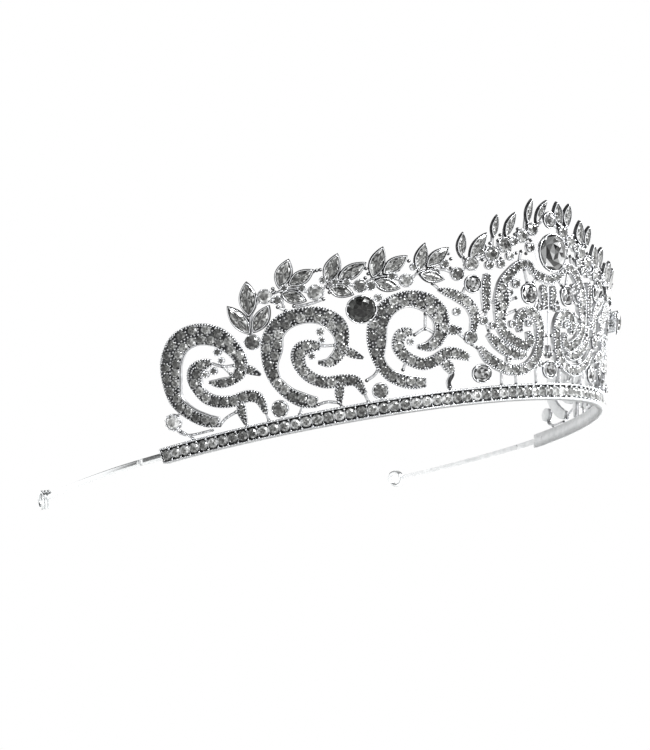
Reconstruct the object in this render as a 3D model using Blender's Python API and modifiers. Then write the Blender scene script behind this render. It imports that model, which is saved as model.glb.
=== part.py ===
# Bridal tiara: a channel-set band, three pairs of scrolls, a leaf vine that climbs to a
# crest over the centre stone, and two springy arms that end in loops.
# Lengths are in millimetres until wallPoint or turned makes them metres. +Z is up and the
# front faces -Y. Every cast piece is drawn flat, as distance along the ring from the front
# centre and height up the wall, and is then wrapped on the leaning wall.

from math import cos, hypot, pi, radians, sin

import bmesh
import bpy
import numpy as np
from mathutils import Matrix, Vector

# ring and wall
ringHalfWidth = 70.0
ringFrontDepth = 77.0
ringBackDepth = 90.0
bandEndAngle = 75.1
armEndAngle = 110.0
wallLean = 14.0
crestHeight = 45.0

# band
bandHeight = 3.7
bandThickness = 1.7
bandRim = 0.55
channelDepth = 0.6

# castings and stones
castThickness = 1.5
castStep = 0.03  # each shape in a casting is this much thinner than the last
gap = 0.3
centreStoneRadius = 4.0
centreStoneHeight = 33.4
colletWall = 0.5
colletHeight = 3.0
stoneStandOut = 1.2
medallionRadius = 2.8
medallionHeight = 3.2
# shares of a stone's radius or height
tableShare = 0.58
girdleShare = 0.4
seatShare = 0.75
medallionShoulder = 0.9
medallionShoulderHeight = 0.7
medallionGirdle = 0.55
medallionFoot = 0.8

# arms
armRootHeight = 1.6
armTipHeight = 1.2
armThickness = 1.0
armPivotShare = 0.15  # where a bending strip turns, as a share of its length
loopRadius = 2.05
loopWire = 0.55

# the flat drawing's own extent, which is stretched to the wall
drawnHalfLength = 95.7
drawnFoot = 4.0
drawnCrest = 45.0
drawnColletReach = 4.8
colletInfluence = 12.0  # castings this near the centre stone give way when it grows

# leaf and disc outlines
leafRoundness = 0.8
leafTipShare = 0.06
discTrim = 0.04  # of half a turn, so that a disc's outline has no doubled point

# steps in curves
ringSamples = 4000
samplesPerSpan = 2
leafSteps = 6
discSteps = 6
bandSteps = 48
armStubSteps = 4
armSteps = 14
stoneSteps = 12
centreStoneSteps = 16
colletSteps = 24
loopSteps = 20
loopWireSteps = 6

metresPerMm = 0.001
weldMm = 0.5e-3


def ringSpot(angle):
    depth = ringFrontDepth if cos(angle) >= 0 else ringBackDepth
    return ringHalfWidth * sin(angle), -depth * cos(angle)


def ringOutward(angle):
    depth = ringFrontDepth if cos(angle) >= 0 else ringBackDepth
    x = sin(angle) / ringHalfWidth
    y = -cos(angle) / depth
    return x / hypot(x, y), y / hypot(x, y)


def measureRing(lastAngle):
    angles = np.linspace(0.0, lastAngle, ringSamples)
    spots = np.array([ringSpot(a) for a in angles])
    lengths = np.hypot(*np.diff(spots, axis=0).T)
    return angles, np.concatenate([[0.0], np.cumsum(lengths)])


ringAngles, ringLengths = measureRing(radians(armEndAngle))
bandHalfLength = float(np.interp(radians(bandEndAngle), ringAngles, ringLengths))
armEndLength = float(ringLengths[-1])
alongScale = bandHalfLength / drawnHalfLength
upScale = (crestHeight - bandHeight - gap) / (drawnCrest - drawnFoot)
drawScale = min(alongScale, upScale)
colletReach = centreStoneRadius * drawScale + gap + colletWall
colletGrowth = colletReach / drawScale - drawnColletReach


def angleAtLength(length):
    return float(np.sign(length) * np.interp(abs(length), ringLengths, ringAngles))


def wallPoint(length, height, out=0.0, lean=wallLean):
    """A point on the wall: length along the ring, height up the slope, out from its middle."""
    angle = angleAtLength(length)
    x, y = ringSpot(angle)
    nx, ny = ringOutward(angle)
    reach = height * sin(radians(lean)) + out * cos(radians(lean))
    rise = height * cos(radians(lean)) - out * sin(radians(lean))
    return Vector((x + nx * reach, y + ny * reach, rise)) * metresPerMm


def drawnToWall(s, h):
    return s * alongScale, bandHeight + gap + (h - drawnFoot) * upScale


def clearOfCollet(s, h):
    """Moves a drawn point away from the centre stone by as much as its collet has grown."""
    rise = h - centreStoneHeight
    distance = max(hypot(s, rise), drawnColletReach)
    share = max(0.0, (colletInfluence - distance) / (colletInfluence - drawnColletReach))
    push = 1.0 + colletGrowth * share / distance
    return s * push, centreStoneHeight + rise * push


def wallFrame(s, h, out=0.0):
    """Axes on the wall at a drawn place: X along the ring, Y up the slope, Z outward."""
    length, height = drawnToWall(s, h)
    origin = wallPoint(length, height, out)
    outward = (wallPoint(length, height, out + 1.0) - origin).normalized()
    up = (wallPoint(length, height + 1.0, out) - origin).normalized()
    along = up.cross(outward)
    return Matrix.Translation(origin) @ Matrix((along, up, outward)).transposed().to_4x4()


def makeMaterial(name, color, roughness, metallic):
    material = bpy.data.materials.new(name)
    material.use_nodes = True
    shader = material.node_tree.nodes["Principled BSDF"]
    shader.inputs["Base Color"].default_value = (*color, 1.0)
    shader.inputs["Roughness"].default_value = roughness
    shader.inputs["Metallic"].default_value = metallic
    material.diffuse_color = (*color, 1.0)
    return material


def addObject(name, mesh, material, parent=None):
    made = bpy.data.objects.new(name, mesh)
    if material and not mesh.materials:
        mesh.materials.append(material)
    made.parent = parent
    tiara.objects.link(made)
    return made


def addMirrored(made, name, parent=None):
    """The same mesh on the other side of the YZ plane."""
    twin = made.copy()
    twin.name = name
    twin.parent = parent
    twin.matrix_basis = Matrix.Diagonal((-1.0, 1.0, 1.0, 1.0)) @ made.matrix_basis
    tiara.objects.link(twin)
    return twin


def addPair(name, build):
    left = build(name + "_left")
    addMirrored(left, name + "_right")


# flat shapes: each gives an outline loft of rows, as lists of (s, h) pairs


def smoothPath(points):
    """Catmull-Rom through (s, h, width) points."""
    rows = np.array(points, float)
    ends = np.vstack([2 * rows[0] - rows[1], rows, 2 * rows[-1] - rows[-2]])
    found = []
    for i in range(len(rows) - 1):
        a, b, c, d = ends[i : i + 4]
        for t in np.arange(samplesPerSpan) / samplesPerSpan:
            bend = (2 * a - 5 * b + 4 * c - d) * t * t + (3 * b - a - 3 * c + d) * t**3
            found.append(0.5 * (2 * b + (c - a) * t + bend))
    found.append(rows[-1])
    return np.array(found)


def ribbon(*points):
    path = smoothPath(points)
    run = np.gradient(path[:, :2], axis=0)
    run /= np.linalg.norm(run, axis=1)[:, None]
    side = np.stack([-run[:, 1], run[:, 0]], axis=1) * path[:, 2:] / 2
    return path[:, :2] + side, path[:, :2] - side


def leaf(base, tip, width):
    start, end = np.array(base), np.array(tip)
    run = end - start
    side = np.array([-run[1], run[0]]) / np.linalg.norm(run) * width / 2
    places = np.linspace(0.0, 1.0, leafSteps)
    middle = start + places[:, None] * run
    swell = (np.sin(pi * places) ** leafRoundness + leafTipShare)[:, None] * side
    return middle + swell, middle - swell


def disc(s, h, radius):
    turns = np.linspace(discTrim * pi, (1.0 - discTrim) * pi, discSteps)
    upper = np.stack([s + radius * np.cos(turns), h + radius * np.sin(turns)], axis=1)
    lower = np.stack([s + radius * np.cos(turns), h - radius * np.sin(turns)], axis=1)
    return upper, lower


def flatSolid(name, shape, thickness):
    """A plate of the shape, in the drawing's millimetres, with its front toward -Y."""
    upper, lower = shape
    form = bmesh.new()
    rows = [[form.verts.new((s, 0.0, h)) for s, h in edge] for edge in (upper, lower)]
    for i in range(len(upper) - 1):
        form.faces.new((rows[0][i], rows[0][i + 1], rows[1][i + 1], rows[1][i]))
    bmesh.ops.recalc_face_normals(form, faces=form.faces)
    mesh = bpy.data.meshes.new(name)
    form.to_mesh(mesh)
    form.free()
    plate = bpy.data.objects.new(name, mesh)
    plate.hide_render = True
    plate.display_type = "WIRE"
    cutters.objects.link(plate)
    wall = plate.modifiers.new("thickness", "SOLIDIFY")
    wall.thickness = thickness
    wall.offset = 0.0
    return plate


def joinedMesh(name, shapes):
    plates = []
    for i, shape in enumerate(shapes):
        plates.append(flatSolid(f"{name}_shape_{i}", shape, castThickness - i * castStep))
    for other in plates[1:]:
        union = plates[0].modifiers.new(other.name, "BOOLEAN")
        union.operation = "UNION"
        union.solver = "EXACT"
        union.object = other
    bpy.context.view_layer.update()
    graph = bpy.context.evaluated_depsgraph_get()
    mesh = bpy.data.meshes.new_from_object(plates[0].evaluated_get(graph))
    for plate in plates:
        bpy.data.objects.remove(plate)
    return mesh


def castPiece(name, shapes, material):
    """Joins flat shapes to one casting and wraps it on the wall."""
    mesh = joinedMesh(name, shapes)
    form = bmesh.new()
    form.from_mesh(mesh)
    bmesh.ops.remove_doubles(form, verts=form.verts, dist=weldMm)
    bmesh.ops.triangulate(form, faces=form.faces)
    for vert in form.verts:
        length, height = drawnToWall(*clearOfCollet(vert.co.x, vert.co.z))
        vert.co = wallPoint(length, height, -vert.co.y)
    bmesh.ops.recalc_face_normals(form, faces=form.faces)
    form.to_mesh(mesh)
    form.free()
    return addObject(name, mesh, material)


def sweep(name, sections, material, parent=None):
    """A closed loft through sections, each a list of points in metres."""
    form = bmesh.new()
    rows = [[form.verts.new(point) for point in section] for section in sections]
    count = len(rows[0])
    for near, far in zip(rows, rows[1:]):
        for i in range(count):
            k = (i + 1) % count
            form.faces.new((near[i], near[k], far[k], far[i]))
    form.faces.new(rows[0])
    form.faces.new(rows[-1][::-1])
    bmesh.ops.recalc_face_normals(form, faces=form.faces)
    mesh = bpy.data.meshes.new(name)
    form.to_mesh(mesh)
    form.free()
    return addObject(name, mesh, material, parent)


def turned(name, profile, frame, material, steps, closed=False, stretch=1.0):
    """A profile of (radius, height) pairs in mm, turned about the frame's Z axis."""
    mesh = bpy.data.meshes.new(name)
    points = [(r * metresPerMm, 0.0, z * metresPerMm) for r, z in profile]
    edges = [(i, i + 1) for i in range(len(points) - 1)]
    if closed:
        edges.append((len(points) - 1, 0))
    mesh.from_pydata(points, edges, [])
    made = addObject(name, mesh, material)
    made.matrix_basis = frame @ Matrix.Diagonal((stretch, 1.0, 1.0, 1.0))
    turn = made.modifiers.new("turn", "SCREW")
    turn.steps = steps
    turn.render_steps = steps
    turn.use_merge_vertices = True
    turn.merge_threshold = 1e-6
    return made


def stoneProfile(radius, stand, depth):
    """Table, crown, girdle and a plain back that fills the seat."""
    return (
        (0.0, stand),
        (radius * tableShare, stand),
        (radius, stand * girdleShare),
        (radius, 0.0),
        (radius * seatShare, -depth),
        (0.0, -depth),
    )


def addStone(name, s, h, radius, material, stretch=1.0):
    radius *= drawScale
    profile = stoneProfile(radius, stoneStandOut + castThickness / 2, castThickness / 2)
    frame = wallFrame(*clearOfCollet(s, h))
    return turned(name, profile, frame, material, stoneSteps, stretch=stretch)


# pieces


def bandSection(length):
    back = -bandThickness / 2
    front = bandThickness / 2
    floor = front - channelDepth
    lip = bandHeight - bandRim
    outline = (
        (back, 0.0),
        (front, 0.0),
        (front, bandRim),
        (floor, bandRim),
        (floor, lip),
        (front, lip),
        (front, bandHeight),
        (back, bandHeight),
    )
    points = []
    for out, height in outline:
        point = wallPoint(length, height, out)
        if height == 0.0:
            point = wallPoint(length, height, out, lean=0.0)
        points.append(point)
    return points


def addBand():
    lengths = np.linspace(-bandHalfLength, bandHalfLength, bandSteps + 1)
    sweep("base_band", [bandSection(length) for length in lengths], silver)


def armCentreHeight(length):
    """From the middle of the band to the height that lets the loop rest level with it."""
    share = (length - bandHalfLength) / (armEndLength - bandHalfLength)
    root = bandHeight / 2
    return root + share * (loopRadius + loopWire - root)


def armSection(length, offset):
    share = (length - bandHalfLength) / (armEndLength - bandHalfLength)
    half = (armRootHeight + share * (armTipHeight - armRootHeight)) / 2
    middle = armCentreHeight(length)
    corners = ((-1, -1), (1, -1), (1, 1), (-1, 1))
    points = []
    for side, rise in corners:
        out = side * armThickness / 2
        point = wallPoint(length, middle + rise * half, out, lean=0.0)
        points.append(point - offset)
    return points


def addArms():
    armLength = armEndLength - bandHalfLength
    pivotLength = bandHalfLength + armPivotShare * armLength
    pivot = wallPoint(-pivotLength, 0.0, 0.0, lean=0.0)
    stub = np.linspace(bandHalfLength + gap, pivotLength - gap / 2, armStubSteps)
    strip = np.linspace(pivotLength + gap / 2, armEndLength, armSteps)
    zero = Vector((0.0, 0.0, 0.0))

    def leftSections(lengths, offset):
        mirror = Matrix.Diagonal((-1.0, 1.0, 1.0))
        return [[mirror @ p - offset for p in armSection(n, zero)] for n in lengths]

    root = sweep("arm_root_left", leftSections(stub, zero), silver)
    addMirrored(root, "arm_root_right")
    pivots = []
    for name, sign in (("arm_pivot_left", 1.0), ("arm_pivot_right", -1.0)):
        empty = bpy.data.objects.new(name, None)
        empty.location = (sign * pivot.x, pivot.y, 0.0)
        tiara.objects.link(empty)
        pivots.append(empty)
    arm = sweep("arm_left", leftSections(strip, pivot), silver, pivots[0])
    addMirrored(arm, "arm_right", pivots[1])

    end = wallPoint(-armEndLength, loopRadius + loopWire, 0.0, lean=0.0)
    before = wallPoint(1.0 - armEndLength, loopRadius + loopWire, 0.0, lean=0.0)
    ahead = (end - before).normalized()
    centre = end + ahead * (gap + loopRadius + loopWire) * metresPerMm
    radial = ahead.cross(Vector((0.0, 0.0, 1.0)))
    bpy.ops.mesh.primitive_torus_add(
        major_segments=loopSteps,
        minor_segments=loopWireSteps,
        major_radius=loopRadius * metresPerMm,
        minor_radius=loopWire * metresPerMm,
    )
    mesh = bpy.context.object.data
    bpy.data.objects.remove(bpy.context.object)
    mesh.shade_smooth()
    loop = addObject("loop_left", mesh, silver, pivots[0])
    axes = Matrix((ahead, Vector((0.0, 0.0, 1.0)), radial)).transposed()
    loop.matrix_basis = Matrix.Translation(centre - pivot) @ axes.to_4x4()
    addMirrored(loop, "loop_right", pivots[1])


outerScrolls = (
    (
        ribbon(
            (-79.6, 5.9, 2.2),
            (-82.6, 7.1, 2.9),
            (-85.8, 9.6, 2.9),
            (-88.0, 13.2, 3.4),
            (-87.6, 17.8, 4.6),
            (-86.3, 21.8, 4.9),
            (-83.4, 24.9, 4.9),
            (-79.2, 25.7, 4.8),
            (-75.3, 24.2, 4.4),
            (-72.6, 21.2, 3.6),
            (-71.4, 18.0, 3.0),
            (-72.2, 15.4, 2.7),
            (-74.2, 14.2, 2.1),
            (-76.9, 14.2, 2.2),
            (-79.3, 15.0, 0.7),
        ),
        ribbon((-71.8, 16.6, 1.6), (-69.6, 15.2, 1.8), (-67.9, 13.9, 0.6)),
    ),
    (
        ribbon(
            (-57.4, 5.6, 2.3),
            (-60.4, 6.7, 3.2),
            (-63.0, 8.8, 2.8),
            (-64.9, 11.8, 2.6),
            (-65.4, 15.2, 3.2),
            (-64.4, 18.8, 4.6),
            (-63.2, 22.0, 4.2),
            (-60.4, 24.1, 3.9),
            (-56.4, 24.5, 3.5),
            (-52.8, 23.5, 3.8),
            (-50.4, 20.9, 4.0),
            (-50.0, 17.8, 3.0),
            (-51.0, 15.2, 2.7),
            (-53.2, 13.6, 2.2),
            (-55.6, 14.0, 0.8),
        ),
        ribbon((-50.4, 16.2, 1.6), (-48.2, 14.5, 1.9), (-46.2, 13.2, 0.6)),
    ),
    (
        ribbon(
            (-33.6, 6.0, 2.2),
            (-36.4, 6.4, 3.0),
            (-39.0, 7.3, 2.9),
            (-41.4, 9.0, 2.6),
            (-43.0, 12.2, 2.7),
            (-42.9, 16.2, 4.2),
            (-42.0, 20.4, 4.2),
            (-39.4, 23.3, 3.8),
            (-35.6, 24.5, 3.6),
            (-31.8, 23.4, 4.1),
            (-29.2, 20.8, 4.0),
            (-28.7, 18.0, 3.4),
            (-29.6, 15.3, 2.9),
            (-31.8, 13.8, 2.4),
            (-34.4, 13.9, 0.9),
        ),
        ribbon((-28.8, 17.4, 1.6), (-26.2, 16.7, 2.2), (-24.2, 16.5, 1.0)),
    ),
)

innerScrolls = (
    (
        ribbon(
            (-78.8, 19.3, 1.2),
            (-81.4, 18.6, 2.4),
            (-82.5, 16.3, 2.6),
            (-82.1, 13.9, 2.6),
            (-80.8, 11.7, 2.6),
            (-78.4, 10.3, 2.6),
            (-75.2, 9.7, 2.6),
            (-71.6, 10.0, 2.6),
            (-69.4, 8.8, 2.3),
            (-68.7, 5.8, 1.2),
        ),
        ribbon((-73.5, 9.2, 1.5), (-73.9, 6.9, 2.0), (-73.7, 4.1, 0.7)),
    ),
    (
        ribbon(
            (-56.0, 17.1, 1.6),
            (-58.1, 17.9, 2.8),
            (-59.6, 15.9, 2.8),
            (-59.1, 13.2, 2.6),
            (-57.4, 10.9, 2.6),
            (-54.6, 9.4, 2.6),
            (-51.2, 9.2, 2.6),
            (-48.5, 8.5, 2.3),
            (-47.1, 5.6, 1.2),
        ),
        ribbon((-51.7, 8.8, 1.5), (-52.4, 6.6, 2.0), (-52.6, 4.2, 0.7)),
    ),
    (
        ribbon(
            (-35.4, 17.3, 1.6),
            (-37.4, 17.2, 2.5),
            (-38.6, 15.2, 2.6),
            (-37.9, 12.9, 2.6),
            (-36.0, 11.1, 2.6),
            (-33.4, 10.0, 2.6),
            (-30.6, 10.6, 2.6),
            (-27.8, 11.8, 2.6),
            (-25.0, 11.2, 2.4),
            (-22.9, 10.2, 1.3),
        ),
        ribbon(
            (-29.2, 10.2, 1.6),
            (-27.9, 8.8, 2.3),
            (-27.3, 7.0, 1.0),
            (-28.2, 5.4, 0.8),
            (-28.0, 4.2, 0.8),
        ),
    ),
)

# each spray: its stem, its leaves from base to tip, and its round seats
vineSprays = (
    (
        ribbon((-68.0, 21.4, 1.0), (-67.7, 25.0, 1.0), (-66.2, 28.4, 1.0), (-63.6, 30.3, 1.0)),
        leaf((-68.1, 23.2), (-71.0, 29.7), 3.4),
        leaf((-67.5, 27.0), (-66.4, 34.0), 3.6),
        leaf((-68.0, 23.3), (-63.4, 28.0), 2.7),
        disc(-68.0, 21.2, 1.6),
        disc(-63.5, 30.2, 1.6),
    ),
    (
        ribbon((-60.8, 30.8, 1.0), (-57.6, 30.6, 1.0), (-53.6, 28.7, 1.0)),
        leaf((-60.2, 31.1), (-57.4, 36.8), 3.4),
        leaf((-58.6, 31.4), (-53.4, 33.6), 3.2),
        leaf((-60.2, 30.3), (-55.8, 27.6), 2.9),
        disc(-53.5, 28.9, 1.7),
    ),
    (
        ribbon((-51.4, 30.0, 1.0), (-48.4, 30.0, 1.0), (-44.8, 28.7, 1.0)),
        leaf((-50.9, 30.2), (-48.1, 36.1), 3.4),
        leaf((-49.0, 30.5), (-43.2, 33.2), 3.2),
        leaf((-50.9, 29.7), (-46.4, 27.4), 2.8),
        disc(-44.7, 28.7, 1.5),
    ),
    (
        ribbon((-42.1, 29.9, 1.0), (-39.2, 30.0, 1.0), (-35.3, 28.4, 1.0)),
        leaf((-41.7, 29.9), (-39.3, 36.1), 3.4),
        leaf((-39.8, 30.5), (-34.8, 33.6), 3.2),
        leaf((-41.6, 29.5), (-37.1, 27.2), 2.8),
        disc(-35.3, 28.5, 1.5),
    ),
    (
        ribbon((-32.9, 29.6, 1.0), (-30.0, 30.3, 1.0), (-26.8, 30.0, 1.0), (-24.2, 28.8, 1.0)),
        leaf((-32.5, 29.9), (-30.9, 35.9), 3.2),
        leaf((-30.8, 30.9), (-26.1, 34.5), 3.2),
        leaf((-32.2, 29.6), (-27.6, 28.0), 2.6),
        disc(-24.2, 28.8, 1.5),
    ),
)

crestVine = (
    ribbon(
        (-22.6, 31.6, 1.0),
        (-20.8, 31.0, 1.2),
        (-16.0, 33.0, 1.2),
        (-12.7, 34.9, 1.2),
        (-8.0, 37.0, 1.2),
        (-5.0, 38.6, 1.2),
        (-3.2, 41.2, 0.8),
    ),
    ribbon((-22.2, 31.4, 0.9), (-23.0, 34.4, 0.8)),
    ribbon((-15.6, 33.2, 0.9), (-15.2, 38.2, 0.8)),
    ribbon((-12.6, 35.2, 0.9), (-12.2, 38.6, 0.8)),
    ribbon((-7.05, 37.5, 0.9), (-6.45, 41.7, 0.8)),
    ribbon((-7.9, 37.2, 0.9), (-6.3, 34.3, 0.8)),
    leaf((-23.1, 32.6), (-22.8, 37.6), 2.6),
    leaf((-21.0, 31.2), (-17.5, 37.2), 3.2),
    leaf((-15.3, 36.4), (-14.8, 41.1), 2.3),
    leaf((-12.3, 36.6), (-10.3, 41.7), 2.9),
    leaf((-6.4, 39.8), (-5.9, 45.0), 2.4),
    leaf((-3.9, 39.9), (-1.7, 45.0), 2.7),
    disc(-20.8, 30.9, 1.5),
    disc(-15.9, 32.9, 1.7),
    disc(-12.6, 34.8, 1.7),
    disc(-7.8, 36.85, 1.52),
    disc(-4.95, 38.55, 1.42),
    disc(-6.3, 34.2, 1.0),
)

archRow = (
    ribbon(
        (-28.6, 25.8, 0.8),
        (-26.4, 24.9, 2.0),
        (-24.0, 23.6, 2.4),
        (-21.9, 21.9, 2.4),
        (-20.8, 19.2, 2.2),
        (-21.6, 15.8, 1.2),
    ),
    disc(-22.1, 14.7, 1.6),
)

barRow = (
    ribbon((-17.2, 28.4, 1.4), (-17.7, 25.4, 2.0), (-17.8, 23.0, 2.0), (-17.9, 20.4, 1.4)),
)

jScroll = (
    ribbon(
        (-19.9, 12.2, 1.4),
        (-18.1, 10.0, 2.4),
        (-15.2, 8.1, 2.5),
        (-11.8, 6.9, 2.5),
        (-8.4, 7.0, 2.5),
        (-5.6, 8.3, 2.5),
        (-3.8, 10.4, 2.5),
        (-3.0, 13.6, 2.4),
        (-3.1, 17.0, 2.4),
        (-4.8, 19.4, 2.5),
        (-7.6, 19.6, 2.5),
        (-9.3, 17.9, 2.3),
        (-9.0, 15.4, 1.2),
    ),
    ribbon((-10.6, 7.0, 0.8), (-10.6, 4.1, 0.7)),
)

sScroll = (
    ribbon(
        (-4.8, 28.6, 1.0),
        (-6.0, 30.4, 1.8),
        (-8.6, 30.4, 2.1),
        (-11.4, 28.4, 2.3),
        (-13.4, 26.0, 2.6),
        (-13.9, 22.4, 3.8),
        (-14.4, 19.4, 2.8),
        (-14.2, 16.4, 2.3),
        (-12.4, 14.2, 2.6),
        (-10.0, 12.9, 2.6),
        (-7.6, 12.2, 2.5),
        (-6.0, 13.4, 2.2),
        (-6.6, 15.4, 1.0),
    ),
    ribbon(
        (-17.7, 15.1, 1.2),
        (-15.6, 13.1, 2.2),
        (-12.9, 11.0, 2.2),
        (-9.6, 10.0, 2.0),
        (-7.6, 10.2, 1.0),
    ),
    ribbon((-13.8, 15.2, 1.0), (-15.4, 13.0, 1.0)),
)

endSeat = (
    ribbon((-90.3, 7.4, 0.9), (-89.4, 5.6, 0.8), (-86.6, 4.7, 0.7), (-83.4, 4.6, 0.7)),
    disc(-90.3, 8.5, 1.7),
)

centreColumn = (
    ribbon((0.0, 9.5, 0.9), (0.0, 11.0, 1.4), (0.0, 13.0, 0.9), (0.0, 16.0, 0.8), (0.0, 19.4, 0.8)),
)

centreFleur = (
    ribbon((-3.3, 28.0, 0.9), (-1.8, 27.4, 1.6), (0.0, 27.1, 1.7), (1.8, 27.4, 1.6), (3.3, 28.0, 0.9)),
    ribbon((-1.5, 27.2, 0.9), (-1.7, 24.8, 1.9), (-1.5, 22.8, 1.8), (-0.4, 20.6, 1.2)),
    ribbon((1.5, 27.2, 0.9), (1.7, 24.8, 1.9), (1.5, 22.8, 1.8), (0.4, 20.6, 1.2)),
)

# round and oval stones in the drawing: place, radius and stretch along the ring
topStone = (0.0, 40.9, 1.7, 1.0)
footStone = (0.0, 6.8, 1.9, 1.2)
dropStone = (-20.1, 6.6, 1.9, 1.2)
eyeStone = (-21.0, 26.4, 1.8, 1.0)
heartStone = (-6.4, 24.0, 2.3, 1.0)
studStone1 = (-65.4, 5.8, 1.7, 1.0)
studStone2 = (-43.7, 5.6, 1.6, 1.0)
medallionSpot = (-45.4, 23.7)


def addScrolls():
    for i, shapes in enumerate(outerScrolls, 1):
        addPair(f"outer_scroll_{i}", lambda name: castPiece(name, shapes, silver))
    for i, shapes in enumerate(innerScrolls, 1):
        addPair(f"inner_scroll_{i}", lambda name: castPiece(name, shapes, silver))


def addVine():
    for i, shapes in enumerate(vineSprays, 1):
        addPair(f"vine_spray_{i}", lambda name: castPiece(name, shapes, silver))
    addPair("crest_vine", lambda name: castPiece(name, crestVine, silver))


def addCentre():
    pairs = {
        "arch_row": archRow,
        "bar_row": barRow,
        "j_scroll": jScroll,
        "s_scroll": sScroll,
        "end_seat": endSeat,
    }
    for name, shapes in pairs.items():
        addPair(name, lambda side: castPiece(side, shapes, silver))
    castPiece("centre_column", centreColumn, silver)
    castPiece("centre_fleur", centreFleur, silver)


def addCentreStone():
    radius = centreStoneRadius * drawScale
    inner = radius + gap
    outer = colletReach
    back = -castThickness / 2
    ring = (
        (inner, back + colletHeight),
        (outer, back + colletHeight),
        (outer, back),
        (inner, back),
    )
    frame = wallFrame(0.0, centreStoneHeight)
    turned("centre_collet", ring, frame, silver, colletSteps, closed=True)
    profile = stoneProfile(radius, colletHeight, castThickness / 2)
    turned("centre_stone", profile, frame, crystal, centreStoneSteps)


def addStones():
    for name, plan in (("top_stone", topStone), ("foot_stone", footStone)):
        s, h, radius, stretch = plan
        addStone(name, s, h, radius, crystal, stretch)
    pairs = (
        ("drop_stone", dropStone, crystal),
        ("eye_stone", eyeStone, crystal),
        ("heart_stone", heartStone, crystal),
        ("stud_stone_1", studStone1, foiled),
        ("stud_stone_2", studStone2, foiled),
    )
    for name, (s, h, radius, stretch), material in pairs:
        addPair(name, lambda side: addStone(side, s, h, radius, material, stretch))


def addMedallions():
    radius = medallionRadius * drawScale
    back = castThickness / 2 + gap
    profile = (
        (0.0, back + medallionHeight),
        (radius * tableShare, back + medallionHeight),
        (radius * medallionShoulder, back + medallionHeight * medallionShoulderHeight),
        (radius, back + medallionHeight * medallionGirdle),
        (radius * medallionFoot, back),
        (0.0, back),
    )
    frame = wallFrame(*medallionSpot)
    addPair("medallion", lambda side: turned(side, profile, frame, foiled, centreStoneSteps))


def centreOnOrigin():
    """Puts the origin under the middle of the bounding box, level with its lowest point."""
    bpy.context.view_layer.update()
    graph = bpy.context.evaluated_depsgraph_get()
    low, high = Vector((9.0, 9.0, 9.0)), Vector((-9.0, -9.0, -9.0))
    for piece in tiara.objects:
        if piece.type != "MESH":
            continue
        shown = piece.evaluated_get(graph)
        mesh = shown.to_mesh()
        for vert in mesh.vertices:
            point = shown.matrix_world @ vert.co
            for k in range(3):
                low[k] = min(low[k], point[k])
                high[k] = max(high[k], point[k])
        shown.to_mesh_clear()
    shift = Vector((0.0, -(low.y + high.y) / 2, -low.z))
    for piece in tiara.objects:
        if piece.parent is None:
            piece.matrix_basis = Matrix.Translation(shift) @ piece.matrix_basis
    bpy.context.view_layer.update()
    print("size in mm:", [round((high[k] - low[k]) * 1000, 2) for k in range(3)])
    print("ring centre in mm:", [round(value * 1000, 3) for value in shift])
    for name in ("arm_pivot_left", "arm_pivot_right"):
        print(name, [round(value, 6) for value in bpy.data.objects[name].matrix_world.translation])


for old in list(bpy.data.objects):
    bpy.data.objects.remove(old)

tiara = bpy.data.collections.new("bridal_tiara")
bpy.context.scene.collection.children.link(tiara)
cutters = bpy.data.collections.new("flat_shapes")
bpy.context.scene.collection.children.link(cutters)
cutters.hide_render = True

silver = makeMaterial("rhodium_plated_casting", (0.86, 0.87, 0.89), 0.16, 1.0)
crystal = makeMaterial("clear_cut_crystal", (0.90, 0.92, 0.95), 0.03, 0.0)
foiled = makeMaterial("foiled_rhinestone", (0.45, 0.46, 0.48), 0.08, 0.6)

addBand()
addArms()
addScrolls()
addVine()
addCentre()
addStones()
addCentreStone()
addMedallions()
centreOnOrigin()
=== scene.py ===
from math import cos, hypot, pi, radians, sin, tan

import bpy
import numpy as np
from mathutils import Matrix, Vector


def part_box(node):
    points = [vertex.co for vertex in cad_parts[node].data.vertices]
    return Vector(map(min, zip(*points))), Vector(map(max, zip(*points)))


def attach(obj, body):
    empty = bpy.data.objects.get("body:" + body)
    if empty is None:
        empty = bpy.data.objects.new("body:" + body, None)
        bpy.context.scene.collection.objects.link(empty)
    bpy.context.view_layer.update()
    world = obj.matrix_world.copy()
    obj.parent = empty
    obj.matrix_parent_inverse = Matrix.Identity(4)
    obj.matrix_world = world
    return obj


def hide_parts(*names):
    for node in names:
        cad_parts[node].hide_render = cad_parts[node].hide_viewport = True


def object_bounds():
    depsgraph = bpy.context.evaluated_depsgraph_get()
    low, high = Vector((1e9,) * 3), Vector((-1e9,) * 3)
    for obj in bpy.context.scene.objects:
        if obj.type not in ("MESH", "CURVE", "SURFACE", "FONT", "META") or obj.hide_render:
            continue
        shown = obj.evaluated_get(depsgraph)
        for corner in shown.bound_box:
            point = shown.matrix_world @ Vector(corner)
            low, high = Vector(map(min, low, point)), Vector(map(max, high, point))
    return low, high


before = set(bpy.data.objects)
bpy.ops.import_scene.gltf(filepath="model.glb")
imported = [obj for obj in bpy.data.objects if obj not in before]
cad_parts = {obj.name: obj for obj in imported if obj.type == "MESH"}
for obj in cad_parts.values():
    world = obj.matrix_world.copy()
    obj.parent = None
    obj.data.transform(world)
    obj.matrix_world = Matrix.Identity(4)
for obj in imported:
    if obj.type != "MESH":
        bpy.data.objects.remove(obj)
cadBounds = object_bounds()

# lengths are in millimetres until wrapPoints turns them to metres; s runs along the ring from
# the front centre, h up the leaning wall, and out away from the middle of the wall
ring = {
    "halfWidth": 70.0,
    "frontDepth": 77.0,
    "backDepth": 90.0,
    "bandEnd": 75.1,
    "armEnd": 110.0,
    "lean": 14.0,
}
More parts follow.
